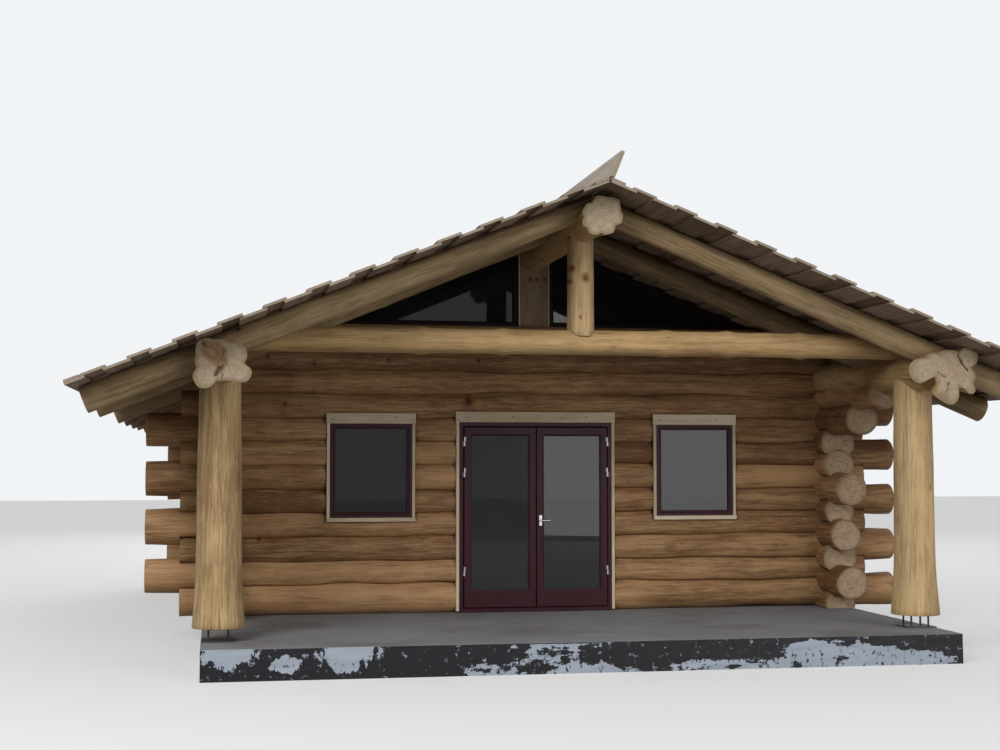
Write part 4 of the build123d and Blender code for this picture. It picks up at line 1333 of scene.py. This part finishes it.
def plinth_concrete():
    """Concrete, coat with its painted blue shade, and black paint; BARE_PATCHES are (x, z, half width, half
    height).
    """
    paint = Paint("plinth_concrete", Roughness=0.85, Specular_IOR_Level=DULL)
    at = paint.place("Object")
    x, y, z = paint.parts(at)
    broad = paint.noise(at, 1.3, 5.0, 0.6)
    fine = paint.noise(at, 24.0, 4.0, 0.65)
    pores = paint.cells(at, 55.0)
    wet = paint.noise((x, y, 4.0), 0.55)
    grey = paint.mix(broad * 0.6 + fine * 0.4, (0.105, 0.105, 0.112), (0.30, 0.30, 0.31))
    grey = paint.mix(wet.band(0.52, 0.66) * 0.4, grey, (0.11, 0.085, 0.065))
    upright = z.band(floor_z - 0.001, floor_z - 0.006)
    along = x + y * 1.07
    # The coat is white; its blue grey here is painted shade
    shaded_coat = paint.mix(paint.noise((along * 2.0, z * 9.0, 6.0), 1.0, 4.0), (0.20, 0.235, 0.290),
                     (0.42, 0.465, 0.530))
    brush = paint.noise((along * 0.95, z * 2.6, 9.0), 1.0, 5.0, 0.62)
    ragged = paint.noise((along * 9.0, z * 5.0, 2.0), 1.0, 4.0, 0.7)
    tar = (brush + (ragged - 0.5) * 0.20 + (z - (floor_z - 0.15)) * 0.35).band(0.475, 0.490)
    bare = least([((x - px) / wide).hypot((z - pz) / high) + (ragged.band(0.32, 0.68) - 0.5) * 0.75
                  for px, pz, wide, high in BARE_PATCHES])
    corner = (x + ragged).band(-0.8, -0.805) * y.band(lo.y + 0.05, lo.y + 0.03)
    tar = tar * (1 - corner) + bare.band(0.98, 1.02) * corner
    rim = (z + (ragged - 0.5) * 0.03).band(floor_z - 0.018, floor_z - 0.012)
    tar = tar.math("MAXIMUM", rim * (1 - corner) * 0.9)
    gaps = paint.noise((along * 16.0, z * 16.0, 3.0), 1.0, 4.0, 0.7).band(0.60, 0.66)
    tar = tar * (1 - gaps * 0.75)
    drips = paint.noise((along * 20.0, z * 13.0, 12.0), 1.0, 4.0, 0.7).band(0.575, 0.60)
    tar = tar.math("MAXIMUM", drips * (z + ragged * 0.2).band(floor_z, floor_z - 0.08))
    face = paint.mix(tar, shaded_coat, (0.010, 0.010, 0.012))
    height = broad * 0.006 + fine * 0.0018 - pores.band(0.12, 0.02) * 0.0012 + tar * upright * 0.002
    return paint.finish(Base_Color=paint.mix(upright, grey, face), Roughness=0.88 - upright * tar * 0.45,
                        Normal=paint.bump(height))


sides_x, sides_y = int((hi.x - lo.x) / PLINTH_STEP), int((hi.y - lo.y) / PLINTH_STEP)
tx, ty = np.arange(sides_x) / sides_x, np.arange(sides_y) / sides_y
line = np.concatenate((np.stack((lo.x + tx * (hi.x - lo.x), 0 * tx + lo.y), -1),
                       np.stack((0 * ty + hi.x, lo.y + ty * (hi.y - lo.y)), -1),
                       np.stack((hi.x - tx * (hi.x - lo.x), 0 * tx + hi.y), -1),
                       np.stack((0 * ty + lo.x, hi.y - ty * (hi.y - lo.y)), -1)))
inward = -np.sign(line - [(lo.x + hi.x) / 2, (lo.y + hi.y) / 2])
inward = inward * (np.abs(line - np.where(inward < 0, (hi.x, hi.y), (lo.x, lo.y))) < 1e-6)
rings = []
top = PLINTH_LEVELS[-1][0]
for height, inset in PLINTH_LEVELS:
    rough_edge = inset * rng.uniform(0.0, 1.0, len(line)) + (0.004 if height == top else 0.0)
    ring = line + inward * rough_edge[:, None]
    rings.append(np.concatenate((ring, np.full((len(line), 1), lo.z + height / top * (hi.z - lo.z))), axis=1))
pile = Pile()
lofted(pile, np.array(rings), seed=3)
stand_for(pile, "plinth", "cabin", ["foundation"], plinth_concrete())

# %% [markdown]
# Metal parts are small but catch the eye: dark threaded rods under the posts, hinges, the lever handle
# and the screw heads in the boards. Their shape comes from the frame; the finish is worked out here, zinc
# grey with a little rust, or dull brushed steel for the handle. The hinges' plates are painted over with
# the joinery, and only their knuckles, within reach of the hinge line, are bare.


# %% Metal
HINGE_R = 0.009


def metal(name, dark, light, rust, rough, thread=0.0, bare=None):
    """bare is the hinge line's distance from the middle and the reach of the bare steel round it."""
    paint = Paint(name, Metallic=0.9)
    at = paint.place("Object")
    x, y, z = paint.parts(at)
    spangle = paint.cells(at, 130.0, out=1)
    cloud = paint.noise(at, 11.0, 4.0, 0.6)
    spots = paint.noise(at, 38.0, 4.0, 0.7)
    colour = paint.mix(paint.parts(spangle)[0] * 0.4 + cloud * 0.6, dark, light)
    rusty = (spots * 0.6 + cloud * 0.4).band(0.52, 0.66) * rust
    colour = paint.mix(rusty, colour, (0.16, 0.058, 0.022))
    height = spots * 0.0004 + (z * 2500.0).math("SINE") * 0.0005 * thread
    shine = 0.9 - rusty * 0.8
    if bare is not None:
        line, reach = bare
        painted = (x.math("ABSOLUTE") - line).math("ABSOLUTE").band(reach, reach + 0.0015)
        colour = paint.mix(painted, colour, (0.032, 0.006, 0.010))
        shine = shine * (1 - painted)
    return paint.finish(Base_Color=colour, Roughness=cloud * 0.2 + rusty * 0.3 + rough, Metallic=shine,
                        Normal=paint.bump(height))


pin_lo, pin_hi = spans_of("door_hinge_pins")[-1]
hinge_line = pin_lo[0] + HINGE_R if pin_lo[0] > 0 else -pin_hi[0] + HINGE_R
repaint(["post_foot_left", "post_foot_right"],
        metal("foot_steel", (0.045, 0.045, 0.050), (0.14, 0.14, 0.15), 0.6, 0.42, thread=1.0))
repaint(["door_hinges_left", "door_hinges_right", "door_hinge_pins"],
        metal("hinge_steel", (0.30, 0.31, 0.33), (0.50, 0.51, 0.53), 0.12, 0.30,
              bare=(hinge_line, HINGE_R + 0.0005)))
repaint(["door_handle"], metal("handle_steel", (0.42, 0.42, 0.43), (0.60, 0.60, 0.61), 0.0, 0.22))
stand_for(screws, "board_screws", "cabin", [],
          metal("screw_steel", (0.05, 0.045, 0.04), (0.10, 0.09, 0.08), 0.5, 0.45))

# %% [markdown]
# The camera sees a pale floor and a pale sky, and so do metal and glass, because the same rays are let
# through to both. All other light comes from the lamps, a soft world and a dull floor.

# %% Stage
FLOOR_HALF = 60.0
PALE_RAYS = [f"Is {way} Ray" for way in ("Camera", "Glossy", "Transmission")]
floor_mesh = bpy.data.meshes.new("ground")
corners = [(x * FLOOR_HALF, y * FLOOR_HALF, 0) for x, y in rectangle(-1, 1, -1, 1)]
floor_mesh.from_pydata(corners, [], [(0, 1, 2, 3)])
floor = bpy.data.objects.new("ground", floor_mesh)
bpy.context.scene.collection.objects.link(floor)
floor_paint = Paint("ground", Roughness=0.9, Base_Color=(0.34, 0.34, 0.335, 1.0),
                    Emission_Color=(1.0, 1.0, 0.99, 1.0), Emission_Strength=0.40)
dull = floor_paint.node("ShaderNodeBsdfDiffuse", None, {"Color": (0.26, 0.25, 0.23, 1.0)})
camera_ray, glossy_ray, through_ray = (floor_paint.node("ShaderNodeLightPath", None, None, ray)
                                       for ray in PALE_RAYS)
pale = camera_ray.math("MAXIMUM", glossy_ray).math("MAXIMUM", through_ray)
shader = floor_paint.node("ShaderNodeMixShader", None, {0: pale, 1: dull})
floor_paint.tree.links.new(floor_paint.surface.outputs[0], shader.socket.node.inputs[2])
floor_paint.tree.links.new(shader.socket, floor_paint.tree.nodes["Material Output"].inputs[0])
floor_mesh.materials.append(floor_paint.material)

world = bpy.data.worlds.new("world")
bpy.context.scene.world = world
world.use_nodes = True
tree = world.node_tree
last = tree.nodes["Background"]
sky = tree.nodes.new("ShaderNodeBackground")
for background, colour, strength in ((last, (0.96, 0.96, 0.97, 1.0), 0.50),
                                     (sky, (0.93, 0.95, 0.97, 1.0), 0.95)):
    background.inputs[0].default_value = colour
    background.inputs[1].default_value = strength
rays = tree.nodes.new("ShaderNodeLightPath")
for ray in PALE_RAYS:
    blend = tree.nodes.new("ShaderNodeMixShader")
    tree.links.new(rays.outputs[ray], blend.inputs[0])
    tree.links.new(last.outputs[0], blend.inputs[1])
    tree.links.new(sky.outputs[0], blend.inputs[2])
    last = blend
tree.links.new(last.outputs[0], tree.nodes["World Output"].inputs[0])
print("stage and world made")

# %% [markdown]

# %% Finish
print("cabin finished")
